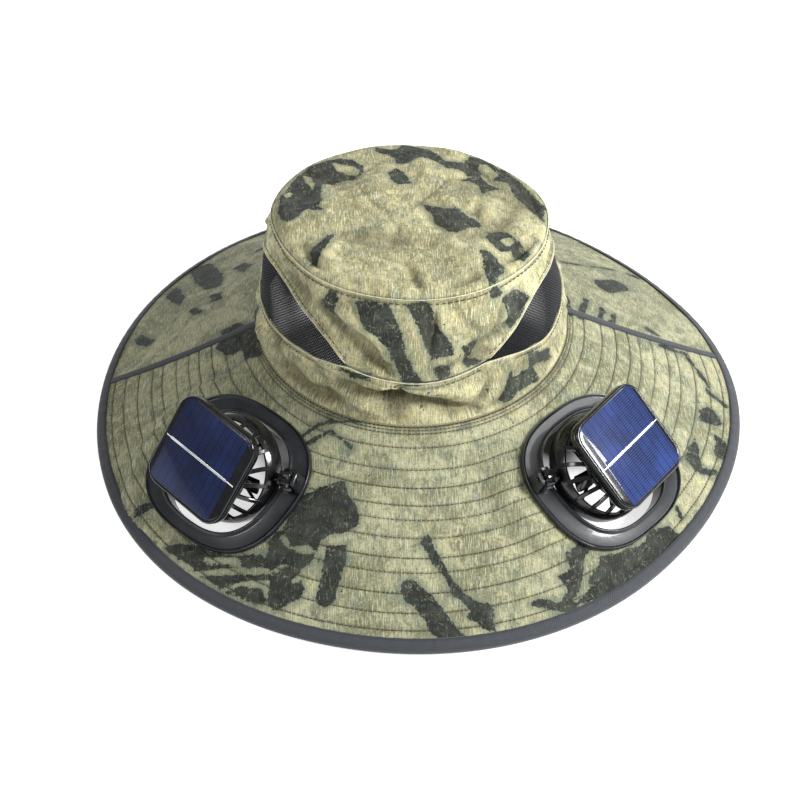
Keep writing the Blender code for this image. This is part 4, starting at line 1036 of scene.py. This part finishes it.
def wall_flat(points):
    """Flat millimetres over the crown wall."""
    around = np.arctan2(points[..., 0] - CROWN_SHIFT, -points[..., 1])
    return around * WALL_RADIUS, points[..., 2] / MM


def around_hat(columns, rows):
    """Angles all round, starting at the back, and shares upward."""
    u, v = share_grid(columns, rows, closed=True)
    return (u * 2.0 - 1.0) * math.pi, v


def hem_relief(off, rise, width, dip, line, dip_width):
    """Turned edge with its sewn dent in mm, off being the distance from the edge."""
    return rise * bell(off, width, 4) - dip * bell(off - line, dip_width)


COLUMNS = 400
HEM_START = 0.004
angle, v = around_hat(COLUMNS, 30)
low, high = vent_limits(angle)
share = HEM_START + (low - 2 * HEM_START) * v
points = wall_point(angle, share)
flat = wall_flat(points)
foot = v * (low - 2 * HEM_START) * WALL_FRONT / MM
edge = (1.0 - v) * (low - 2 * HEM_START) * WALL_FRONT / MM
hem = hem_relief(edge, 0.55, 1.7, 0.30, 2.6, 0.5)
calm = np.clip(foot / 5.0, 0.0, 1.0) * np.clip(edge / 4.0, 0.0, 1.0)
folds = 3.3 * fold_height("wall", *flat) + 3.2 * crease_height(*flat, 14.0, 21, 70)
relief = hem + (folds + 1.6 * wrinkle_height(flat[0] * 0.45, flat[1], 15.0, 7)) * calm
# Painted shade in the fold valleys and along the sewn dent by the upper hem
shade = 0.34 * np.clip(-folds, 0.0, 2.0) * calm
cloth(
    "crown_band_cloth", points, relief, flat, "wall", (CAMO, CAMO_IN_SHADED), CROWN_CLOTH, "crown_band", closed=True,
    groove=np.maximum(shade, 0.8 * bell(edge - 2.6, 0.45)), up=outward(angle),
)

angle, v = around_hat(COLUMNS, 52)
low, high = vent_limits(angle)
start = high + HEM_START
share = start + (WALL_END + 0.010 - start) * v
points = wall_point(angle, share)
flat = wall_flat(points)
over = v * (WALL_END - start) * WALL_FRONT / MM
under = (1.0 - v) * (WALL_END - start) * WALL_FRONT / MM
open_vent = np.clip((high - low) / 0.05, 0.0, 1.0)
hem = hem_relief(over, 0.50, 1.5, 0.28, 2.4, 0.5) * open_vent
top_hem = hem_relief(under, 0.35, 1.6, 0.35, 2.2, 0.6)
calm = np.clip(over / 4.0, 0.0, 1.0) * np.clip(under / 4.0, 0.0, 1.0)
gather = np.sin(flat[0] * 0.62 + 2.2 * np.sin(flat[0] * 0.11)) * bell(under - 5.0, 5.0)
folds = 3.2 * fold_height("wall", *flat) + 2.8 * crease_height(*flat, 16.0, 22, 70)
relief = hem + top_hem + (folds + 1.3 * wrinkle_height(flat[0] * 0.6, flat[1], 17.0, 8)) * calm + 0.28 * gather
# Painted shade in the fold valleys and along the sewn dent below the top seam
shade = 0.34 * np.clip(-folds, 0.0, 2.0) * calm
cloth(
    "crown_wall_cloth", points, relief, flat, "wall", (CAMO, CAMO_IN_SHADED), CROWN_CLOTH, "crown_wall", closed=True,
    groove=np.maximum(shade, 0.8 * bell(under - 2.2, 0.5)), up=outward(angle),
)

angle, v = around_hat(360, 64)
points = top_point(angle, v ** 1.35)
points[0] = wall_line(angle[0], WALL_END + 0.006, 0.35 * MM)
plan_x, plan_y = points[..., 0] / MM, points[..., 1] / MM
inward = v ** 1.35 * 80.0
calm = smooth(inward / 6.0)
folds = 3.3 * fold_height("top", plan_x, plan_y) + 2.2 * crease_height(plan_x, plan_y, 17.0, 23, 48)
shade = 0.30 * np.clip(-folds, 0.0, 2.0) * calm
relief = (folds + 1.6 * wrinkle_height(plan_x, plan_y, 30.0, 9)) * calm
relief = relief + 0.25 * wrinkle_height(plan_x, plan_y, 11.0, 10) * calm
relief = relief - 0.5 * bell(inward - 3.6, 1.2) * (0.6 + 0.4 * np.sin(angle * 37.0))
cloth(
    "crown_top_cloth", points, relief * (1.0 - v ** 8), (plan_x, plan_y), "top", (CAMO, CAMO_IN_SHADED), CROWN_CLOTH,
    "crown_top", closed=True, groove=shade,
)

# Edges and stitches of the crown
turn = np.linspace(-math.pi, math.pi, 560, endpoint=False)
low, high = vent_limits(turn)
seam_radius = 0.24 + 0.14 * np.abs(np.sin(turn)) + 0.06 * np.sin(turn * 90.0)
welt("crown_seam_welt", wall_line(turn, WALL_END + 0.014, 0.75 * MM), seam_radius * MM, 8)
# A dark tube where band meets brim: a painted shadow line, which also covers the slit between them
line = wall_line(turn, 0.004, -0.35 * MM)
line[:, 2] -= 0.25 * MM
welt("crown_base_shadow_welt", line, 0.70 * MM, 8, paint=SEAM_SHADOW)
sewn = Stitches()
sewn.add(wall_line(turn, WALL_END - 0.022, 0.50 * MM), outward(turn), 3.4, 2.4, 0.34, closed=True)
sewn.add(wall_line(turn, low - 0.008 - 2.6 * MM / WALL_FRONT, 0.25 * MM), outward(turn), 3.1, 2.2, 0.30, closed=True)
sewn.piece("crown_stitches", THREAD)
welt("band_edge_welt", wall_line(turn, low - 0.006, 0.55 * MM), (0.28 + 0.06 * np.sin(turn * 110.0)) * MM, 6)
for sign, side in ((-1, "left"), (1, "right")):
    along = np.radians(np.linspace(VENT_ROWS[0][0], VENT_ROWS[-1][0], 220)) * sign
    low, high = vent_limits(along)
    welt(f"vent_edge_{side}_welt", wall_line(along, high + 0.006, 0.5 * MM), 0.30 * MM, 6, closed=False)
    sewn = Stitches()
    line = wall_line(along, high + 0.004 + 2.4 * MM / WALL_FRONT, 0.2 * MM)
    sewn.add(line, outward(along), 3.1, 2.2, 0.26)
    sewn.piece(f"vent_edge_{side}_stitches", THREAD)

# Mesh of the vents
YARN = 0.33 * MM
PITCH = 1.75
knots = {}
for i in range(-90, 220):
    for j in range(-90, 160):
        x, z = (i + j) * PITCH * 0.62, (j - i) * PITCH * 0.5 + 82.0
        if 26.0 < x / WALL_RADIUS * 57.3 < 141.0 and 78.0 < z < 122.0:
            knots[i, j] = (x, z)
flats = np.array(list(knots.values()))
for sign, side in ((-1, "left"), (1, "right")):
    angles = flats[:, 0] / WALL_RADIUS * sign
    shares = (flats[:, 1] * MM - CROWN_BASE[2]) / (crown_seam(angles)[:, 2] - CROWN_BASE[2])
    low, high = vent_limits(angles)
    pad = 0.012
    inside = (shares > low - pad) & (shares < high + pad) & (high - low > 0.004)
    index = {key: number for number, key in enumerate(knots) if inside[number]}
    pairs = [
        (number, index[other]) for (i, j), number in index.items()
        for other in ((i + 1, j), (i, j + 1)) if other in index
    ]
    starts, ends = np.array(pairs).T
    sunk = wall_line(angles, shares, -0.55 * MM)
    rise = outward(angles)[starts]
    cross = unit(np.cross(unit(sunk[ends] - sunk[starts]), rise))
    ring = [rise * YARN * 0.8, cross * YARN, -rise * YARN * 0.8, -cross * YARN]
    points = np.stack([sunk[starts] + r for r in ring] + [sunk[ends] + r for r in ring], axis=1).reshape(-1, 3)
    faces = (np.arange(len(starts)) * 8)[:, None, None] + grid_faces(2, 4, True)
    flat = np.repeat(np.pad(flats[starts], ((0, 0), (0, 1))), 8, axis=0)
    mesh_piece = add_piece(f"vent_mesh_{side}", points, faces.reshape(-1, 4), MESH_YARN, "hat", {"flat": flat})
    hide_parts(f"vent_{side}")


# Fans


def matrix_from(columns, origin):
    """4 by 4 matrix from three directions and a place."""
    matrix = np.eye(4)
    for index, column in enumerate(columns):
        matrix[:3, index] = column
    matrix[:3, 3] = origin
    return matrix


def arm_axes(origin):
    """X along the arm and Z up, in the ring's axes."""
    arm = unit(np.array(FAN_CENTRE) - np.array(HINGE_PLACE))
    up = unit(np.array([0.0, 0.0, 1.0]) - arm * arm[2])
    return matrix_from((arm, np.cross(up, arm), up), origin)


def turned(angle, axis):
    """Turn by degrees about x, y or z."""
    c, s = math.cos(math.radians(angle)), math.sin(math.radians(angle))
    matrix = np.eye(4)
    first, second = {"x": (1, 2), "y": (2, 0), "z": (0, 1)}[axis]
    matrix[first, first] = matrix[second, second] = c
    matrix[first, second] = -s
    matrix[second, first] = s
    return matrix


def moved(x, y, z):
    """Shift."""
    return matrix_from(np.eye(3), (x, y, z))


def to_hat(side):
    """From the ring's axes to the hat."""
    middle, along, out, normal = FRAMES[side]
    return matrix_from((along, out, normal), middle)


def fan_to_hat(side):
    """From the fan's own axes to the hat."""
    return to_hat(side) @ arm_axes(FAN_CENTRE) @ turned(-FAN_LEAN[side], "x")


def rounded(points, radius, steps=3, closed=True):
    """Outline with its corners rounded."""
    points = [np.array(p, float) for p in points]
    made = []
    count = len(points)
    for index, point in enumerate(points):
        if not closed and index in (0, count - 1):
            made.append(point)
            continue
        before, after = points[index - 1] - point, points[(index + 1) % count] - point
        reach = min(radius, 0.42 * np.linalg.norm(before), 0.42 * np.linalg.norm(after))
        start = point + before / np.linalg.norm(before) * reach
        end = point + after / np.linalg.norm(after) * reach
        for t in np.linspace(0.0, 1.0, steps + 1):
            made.append(start * (1 - t) ** 2 + point * 2 * t * (1 - t) + end * t ** 2)
    return np.array(made)


class Solid:
    """Points and faces of a piece made of several closed parts."""

    def __init__(self):
        self.points = []
        self.faces = []
        self.flats = []
        self.count = 0

    def add(self, points, faces, matrix):
        points = np.asarray(points, float).reshape(-1, 3)
        self.flats.append(points / MM)
        self.points.append(points @ matrix[:3, :3].T + matrix[:3, 3])
        self.faces += [tuple(int(v) + self.count for v in face) for face in faces]
        self.count += len(points)

    def lathe(self, section, steps, matrix):
        """Turn a closed section in mm about Z."""
        section = np.asarray(section, float) * MM
        turn = np.linspace(0, TAU, steps, endpoint=False)
        self.closed_loops(polar(section[:, :1], turn, section[:, 1:]), matrix)

    def closed_loops(self, rings, matrix):
        """Skin over closed loops of points, the last joined to the first."""
        rows, count = len(rings), len(rings[0])
        self.add(rings, grid_faces(rows + 1, count, True) % (rows * count), matrix)

    def loops(self, rings, matrix):
        """Skin over closed loops of points, with both ends closed."""
        rings = np.asarray(rings, float)
        rows, count = rings.shape[:2]
        ends = [range(count)[::-1], range((rows - 1) * count, rows * count)]
        self.add(rings, list(grid_faces(rows, count, True)) + ends, matrix)

    def piece(self, part, side, paint, body):
        """Make the piece that stands for a part's node."""
        flats = {"flat": np.concatenate(self.flats)}
        made = add_piece(f"{part}_{side}_piece", np.concatenate(self.points), self.faces, paint, body, flats)
        bm = bmesh.new()
        bm.from_mesh(made.data)
        bmesh.ops.remove_doubles(bm, verts=bm.verts, dist=1e-7)
        bmesh.ops.recalc_face_normals(bm, faces=bm.faces)
        bm.to_mesh(made.data)
        bm.free()
        made.data.set_sharp_from_angle(angle=SHARP_ANGLE)
        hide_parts(f"{part}_{side}")


def oval_loop(half_long, half_short, count, height):
    """Closed loop of the ring's oval shape."""
    raw = np.arange(count) / count * TAU
    turn = raw - 0.10 * np.sin(4.0 * raw)
    power = 2.0 / RING_ROUNDNESS
    c, s = np.cos(turn), np.sin(turn)
    x = half_long * np.copysign(np.abs(c) ** power, c)
    y = half_short * np.copysign(np.abs(s) ** power, s)
    return stack(x, y, height)


def corner_square(side_x, side_y, corner, steps=10):
    """Closed loop of a rectangle with round corners."""
    loop = []
    for quarter, (sx, sy) in enumerate(((1, 1), (-1, 1), (-1, -1), (1, -1))):
        for t in np.linspace(0, math.pi / 2, steps + 1):
            a = quarter * math.pi / 2 + t
            x = sx * (side_x / 2 - corner) + corner * math.cos(a)
            loop.append((x, sy * (side_y / 2 - corner) + corner * math.sin(a)))
    return np.array(loop)


def level_loop(loop, height):
    """A plan loop in mm, set at a height in mm."""
    return stack(loop[:, 0] * MM, loop[:, 1] * MM, height * MM)


# Share of the way from opening to outer edge, height in mm
RING_SECTION = (
    (0.00, -7.6), (0.00, 3.4), (0.10, 4.3), (0.22, 2.9), (0.84, 2.1), (0.905, 3.3), (0.97, 3.5), (1.00, 2.4),
    (1.00, 0.25),
    (0.17, 0.25), (0.17, -1.9), (0.50, -1.9), (0.50, -3.3), (0.17, -3.3), (0.15, -7.6),
)


def ring_piece(side):
    """Fan ring with its lips, collar, groove and hinge ears."""
    solid = Solid()
    span = (RING_OUTER[0] - RING_OPENING[0]) / MM
    section = rounded([(share * span, height) for share, height in RING_SECTION], 0.75)
    loops = []
    for reach, height in section:
        share = reach / span
        half_long = RING_OPENING[0] + (RING_OUTER[0] - RING_OPENING[0]) * share
        half_short = RING_OPENING[1] + (RING_OUTER[1] - RING_OPENING[1]) * share
        loops.append(oval_loop(half_long, half_short, 144, height * MM))
    solid.closed_loops(loops, to_hat(side))
    axes = to_hat(side) @ arm_axes(HINGE_PLACE)
    drop = HINGE_PLACE[2] / MM - 2.2
    for sign in (-1, 1):
        offset = sign * (5.6 / 2 + 0.3 + 2.2 / 2)
        rings = []
        for x, grow in ((-1.1, -0.35), (-0.8, 0.0), (0.8, 0.0), (1.1, -0.35)):
            half = 4.0 + grow
            corners = (
                (-half - 1.0, -drop), (half + 1.0, -drop), (half, -2.0), (half, 3.2 + grow), (-half, 3.2 + grow),
                (-half, -2.0),
            )
            outline = rounded(corners, 2.4, 4) * MM
            rings.append(stack((offset + x) * MM, outline[:, 0], outline[:, 1]))
        solid.loops(rings, axes)
    solid.piece("fan_ring", side, RING_BLACK, "hat")


KNOB_TEETH = 9
# Share of a tooth's turn, radius in mm
TOOTH = np.array([(0.0, 4.9), (0.18, 5.5), (0.30, 6.0), (0.45, 6.05), (0.60, 6.0), (0.72, 5.5), (0.88, 4.9)])
CAGE_RADIUS = 29.8
GUARD_RADIUS = CAGE_RADIUS - 1.9


def arm_piece(side):
    """Toothed knob, pin and arm."""
    solid = Solid()
    length = float(np.linalg.norm(np.array(FAN_CENTRE) - np.array(HINGE_PLACE)))
    matrix = fan_to_hat(side) @ moved(-length, 0, 0) @ turned(90.0, "y")
    rings = []
    for height, grow in ((-2.8, -0.7), (-2.3, -0.1), (-2.0, 0.0), (2.0, 0.0), (2.3, -0.1), (2.8, -0.7)):
        turn = (np.repeat(range(KNOB_TEETH), len(TOOTH)) + np.tile(TOOTH[:, 0], KNOB_TEETH)) / KNOB_TEETH * TAU
        rings.append(polar(np.tile(TOOTH[:, 1] + grow, KNOB_TEETH), turn, height) * MM)
    solid.loops(rings, matrix)
    end = length / MM - CAGE_RADIUS - 0.3
    for section in (
        [(0.0, -6.3), (1.1, -6.3), (1.5, -5.9), (1.5, -2.0), (0.0, -2.0)],
        [(0.0, 2.0), (1.5, 2.0), (1.5, 6.0), (0.0, 6.0)],
        [(0.0, 5.7), (2.0, 5.7), (2.4, 6.1), (2.4, end), (0.0, end)],
    ):
        solid.lathe([(max(r, 0.001), z) for r, z in section], 24, matrix)
    solid.piece("fan_arm", side, CAGE_BLACK, f"fan_{side}")


CAGE_BARS = 18
# Radius and height in mm along a bar, then half widths and heights of its section
BAR_SPINE = np.array([
    (16.4, 14.3), (19.0, 13.4), (22.0, 11.5), (24.8, 8.6), (26.9, 5.2), (28.1, 2.6), (28.8, 0.2), (28.95, -0.6),
])
BAR_CORNERS = (
    (1.20, 0.45), (0.85, 0.80), (-0.85, 0.80), (-1.20, 0.45), (-1.20, -0.45), (-0.85, -0.80), (0.85, -0.80),
    (1.20, -0.45),
)


def cage_piece(side):
    """Cage with its rim, curved bars and cap."""
    solid = Solid()
    matrix = fan_to_hat(side)
    rim = (
        (26.2, 5.4), (27.3, 5.6), (28.9, 2.6), (29.6, 0.6), (CAGE_RADIUS, -4.0), (CAGE_RADIUS, -5.6), (28.2, -5.6),
        (28.1, -3.0), (27.6, 1.6),
    )
    solid.lathe(rounded(rim, 0.45), 96, matrix)
    cap = ((0.001, 15.2), (16.4, 15.2), (19.4, 13.9), (20.2, 12.9), (19.6, 12.1), (16.0, 13.2), (0.001, 13.4))
    solid.lathe(rounded(cap, 0.5, closed=False), 72, matrix)
    fine = np.linspace(0, len(BAR_SPINE) - 1, 15)
    radius, height = (np.interp(fine, range(len(BAR_SPINE)), column) for column in BAR_SPINE.T)
    for bar in range(CAGE_BARS):
        angle = bar / CAGE_BARS * TAU + 0.16 * np.sin((radius - 16.4) / 12.5 * math.pi / 2)
        line = polar(radius, angle, height) * MM
        way = unit(np.gradient(line, axis=0))
        across = stack(-np.sin(angle), np.cos(angle), 0.0)
        across = unit(across - way * np.sum(across * way, axis=1, keepdims=True))
        rise = np.cross(way, across)
        rings = np.stack([line + (across * a - rise * b) * MM for a, b in BAR_CORNERS], axis=1)
        solid.loops(rings, matrix)
    solid.piece("fan_cage", side, CAGE_BLACK, f"fan_{side}")


def guard_piece(side):
    """Lower guard."""
    solid = Solid()
    matrix = fan_to_hat(side)
    outer, inner = GUARD_RADIUS, GUARD_RADIUS - 1.6
    solid.lathe(rounded(((outer, -3.8), (outer, -5.2), (inner, -5.2), (inner, -3.8)), 0.35), 96, matrix)
    cap = rounded(((0.001, -3.8), (6.0, -3.8), (6.0, -5.0), (5.2, -5.2), (0.001, -5.2)), 0.4, closed=False)
    solid.lathe(cap, 48, matrix)
    for count in range(4):
        turn = turned(count * 90.0 + 45.0, "z")
        rings = []
        for z, grow in ((-5.0, -0.25), (-4.85, 0.0), (-4.15, 0.0), (-4.0, -0.25)):
            start, end, half = 5.4, outer - 1.0, 0.8 + grow
            rings.append(level_loop(np.array([(start, -half), (end, -half), (end, half), (start, half)]), z))
        solid.loops(rings, matrix @ turn)
    solid.piece("fan_guard", side, CAGE_BLACK, f"fan_{side}")


def motor_piece(side):
    """Motor can with its collar and shaft."""
    solid = Solid()
    section = (
        (0.001, 13.1), (7.2, 13.1), (7.6, 12.7), (7.6, 7.1), (7.2, 6.6), (2.6, 6.6), (2.6, 6.2), (1.0, 6.2),
        (1.0, -2.5), (0.001, -2.5),
    )
    solid.lathe(rounded(section, 0.3, 2, closed=False), 48, fan_to_hat(side))
    solid.piece("fan_motor", side, METAL, f"fan_{side}")


# Share of a blade's chord, half thickness in mm
BLADE_SECTION = np.array([
    (-0.5, 0.12), (-0.3, 0.42), (0.0, 0.5), (0.3, 0.42), (0.5, 0.12), (0.3, -0.42), (0.0, -0.5), (-0.3, -0.42),
])


def rotor_piece(side):
    """Hub with curved, twisted blades."""
    solid = Solid()
    matrix = fan_to_hat(side)
    hub = rounded([(1.3, 6.0), (6.2, 6.0), (7.0, 5.2), (7.0, -1.8), (6.0, -2.6), (1.3, -2.6)], 0.6)
    solid.lathe(hub, 48, matrix)
    for blade in range(5):
        rings = []
        for radius in np.linspace(6.4, 22.4, 9):
            out = (radius - 6.4) / 16.0
            chord = 8.0 + 3.4 * math.sin(math.pi * (0.25 + 0.6 * out))
            pitch = math.radians(38.0 - 16.0 * out)
            sweep = math.radians(blade * 72.0 + 8.0 + 10.0 * out)
            share, thick = BLADE_SECTION.T
            tangent = share * chord * math.cos(pitch) - thick * math.sin(pitch)
            height = 1.7 + share * chord * math.sin(pitch) + thick * math.cos(pitch) + 0.8 * (0.25 - share * share)
            rings.append(polar(radius, sweep + tangent / radius, height) * MM)
        solid.loops(rings, matrix)
    solid.piece("fan_rotor", side, BLACK, f"rotor_{side}")


PANEL_SIDE = 54.0
CELL_SHIFT = 1.2
# Inset from the panel's side and height, both in mm
HOUSING_PROFILE = (
    (3.0, 19.2), (1.2, 19.25), (0.45, 19.5), (0.08, 20.1), (0.0, 20.8), (0.0, 23.2), (0.12, 23.35), (0.12, 23.6),
    (0.0, 23.75), (0.0, 24.5), (0.15, 25.1), (0.55, 25.55), (1.05, 25.72), (1.45, 25.66), (1.62, 25.36), (1.85, 25.3),
    (2.1, 25.42), (2.5, 25.52), (4.0, 25.56),
)


def panel_pieces(side):
    """Panel housing, cell and bus strip."""
    matrix = fan_to_hat(side) @ moved(2.0 * MM, -5.2 * MM, 0.0) @ turned(-25.0, "z")
    housing = Solid()
    rings = []
    for inset, height in HOUSING_PROFILE:
        loop = corner_square(PANEL_SIDE - 2 * inset, PANEL_SIDE - 2 * inset, max(10.0 - inset, 1.0))
        rings.append(level_loop(loop, height))
    housing.loops(rings, matrix)
    neck = rounded([(0.001, 15.5), (8.0, 15.5), (8.0, 18.0), (9.6, 19.4), (0.001, 19.4)], 0.8, closed=False)
    housing.lathe(neck, 48, fan_to_hat(side))
    housing.piece("panel_housing", side, BLACK, f"fan_{side}")
    cell = Solid()
    rings = []
    for inset, height in ((0.0, 25.0), (0.0, 25.60), (0.12, 25.66)):
        loop = corner_square(44.5 - 2 * inset, 49.5 - 2 * inset, 1.0, 4) + (CELL_SHIFT, 0.0)
        rings.append(level_loop(loop, height))
    cell.loops(rings, matrix)
    cell.piece("solar_cell", side, CELLS[side], f"fan_{side}")
    bus = Solid()
    for half_long, half_wide, shift in ((20.6, 0.62, CELL_SHIFT), (25.0, 0.30, 0.0)):
        rings = []
        for inset, height in ((0.0, 25.3), (0.0, 25.70), (0.15, 25.76)):
            loop = corner_square(2 * (half_long - inset), 2 * (half_wide - inset), max(0.25 - inset * 0.5, 0.05), 3)
            loop += (shift, 0.0)
            rings.append(level_loop(loop, height))
        bus.loops(rings, matrix)
    bus.piece("bus_bar", side, BUS, f"fan_{side}")


for side in ("left", "right"):
    for build in (ring_piece, arm_piece, cage_piece, guard_piece, motor_piece, rotor_piece, panel_pieces):
        build(side)

# Floor, light and camera
floor_mesh = bpy.data.meshes.new("floor")
floor_mesh.from_pydata([(-6, -6, -0.0006), (6, -6, -0.0006), (6, 6, -0.0006), (-6, 6, -0.0006)], [], [(0, 1, 2, 3)])
floor = bpy.data.objects.new("floor", floor_mesh)
bpy.context.scene.collection.objects.link(floor)
floor_paint = Paint("floor_plain", "floor", Roughness=0.95, Specular_IOR_Level=0.0)
floor_paint.shader.inputs["Base Color"].default_value = (0.80, 0.80, 0.80, 1.0)
floor_paint.shader.inputs["Emission Color"].default_value = (1.0, 1.0, 1.0, 1.0)
# The floor glows outside the crown, so that it is white as in the photo and dark under the vents
reach = floor_paint.make("ShaderNodeVectorMath", "Value", {0: floor_paint.place()}, operation="LENGTH")
floor_paint.put(floor_paint.shader.inputs["Emission Strength"], floor_paint.step(reach, 0.097, 0.118, 0.0, 0.66))
floor_mesh.materials.append(floor_paint.material)

world = bpy.data.worlds.new("studio")
bpy.context.scene.world = world
world.use_nodes = True
background = world.node_tree.nodes["Background"].inputs
background["Color"].default_value = (1.0, 1.0, 1.0, 1.0)
background["Strength"].default_value = 0.29
bpy.context.scene.view_settings.view_transform = "Standard"


def softbox(name, place, target, size, watts):
    """Square soft light."""
    light = bpy.data.lights.new(name, "AREA")
    light.shape = "RECTANGLE"
    light.size, light.size_y = size
    light.energy = watts
    lamp = bpy.data.objects.new(name, light)
    lamp.location = place
    lamp.rotation_euler = (Vector(target) - Vector(place)).to_track_quat("-Z", "Y").to_euler()
    bpy.context.scene.collection.objects.link(lamp)


softbox("key", (0.93, -0.36, 0.76), (0.02, -0.02, 0.05), (0.34, 0.34), 20.0)
softbox("side", (0.85, 0.35, 0.98), (0.1, -0.1, 0.03), (0.40, 0.30), 4.0)
softbox("fill", (-0.72, -0.55, 0.95), (-0.1, -0.05, 0.02), (0.4, 0.4), 5.0)

CAMERA_PLACE = Vector((-0.0322, -0.7727, 0.6315))
CAMERA_TARGET = Vector((-0.0110, 0.0, -0.003))
camera_data = bpy.data.cameras.new("camera")
camera_data.lens = 74.8
camera_data.sensor_width = 36.0
camera_data.clip_start = 0.01
camera = bpy.data.objects.new("camera", camera_data)
forward = (CAMERA_TARGET - CAMERA_PLACE).normalized()
right = forward.cross(Vector((0.0, 0.0, 1.0))).normalized()
upward = right.cross(forward)
ROLL = -0.0071
right_rolled = right * math.cos(ROLL) + upward * math.sin(ROLL)
up_rolled = upward * math.cos(ROLL) - right * math.sin(ROLL)
turn = Matrix((right_rolled, up_rolled, -forward)).transposed().to_4x4()
camera.matrix_world = Matrix.Translation(CAMERA_PLACE) @ turn
bpy.context.scene.collection.objects.link(camera)
bpy.context.scene.camera = camera

bpy.context.view_layer.update()
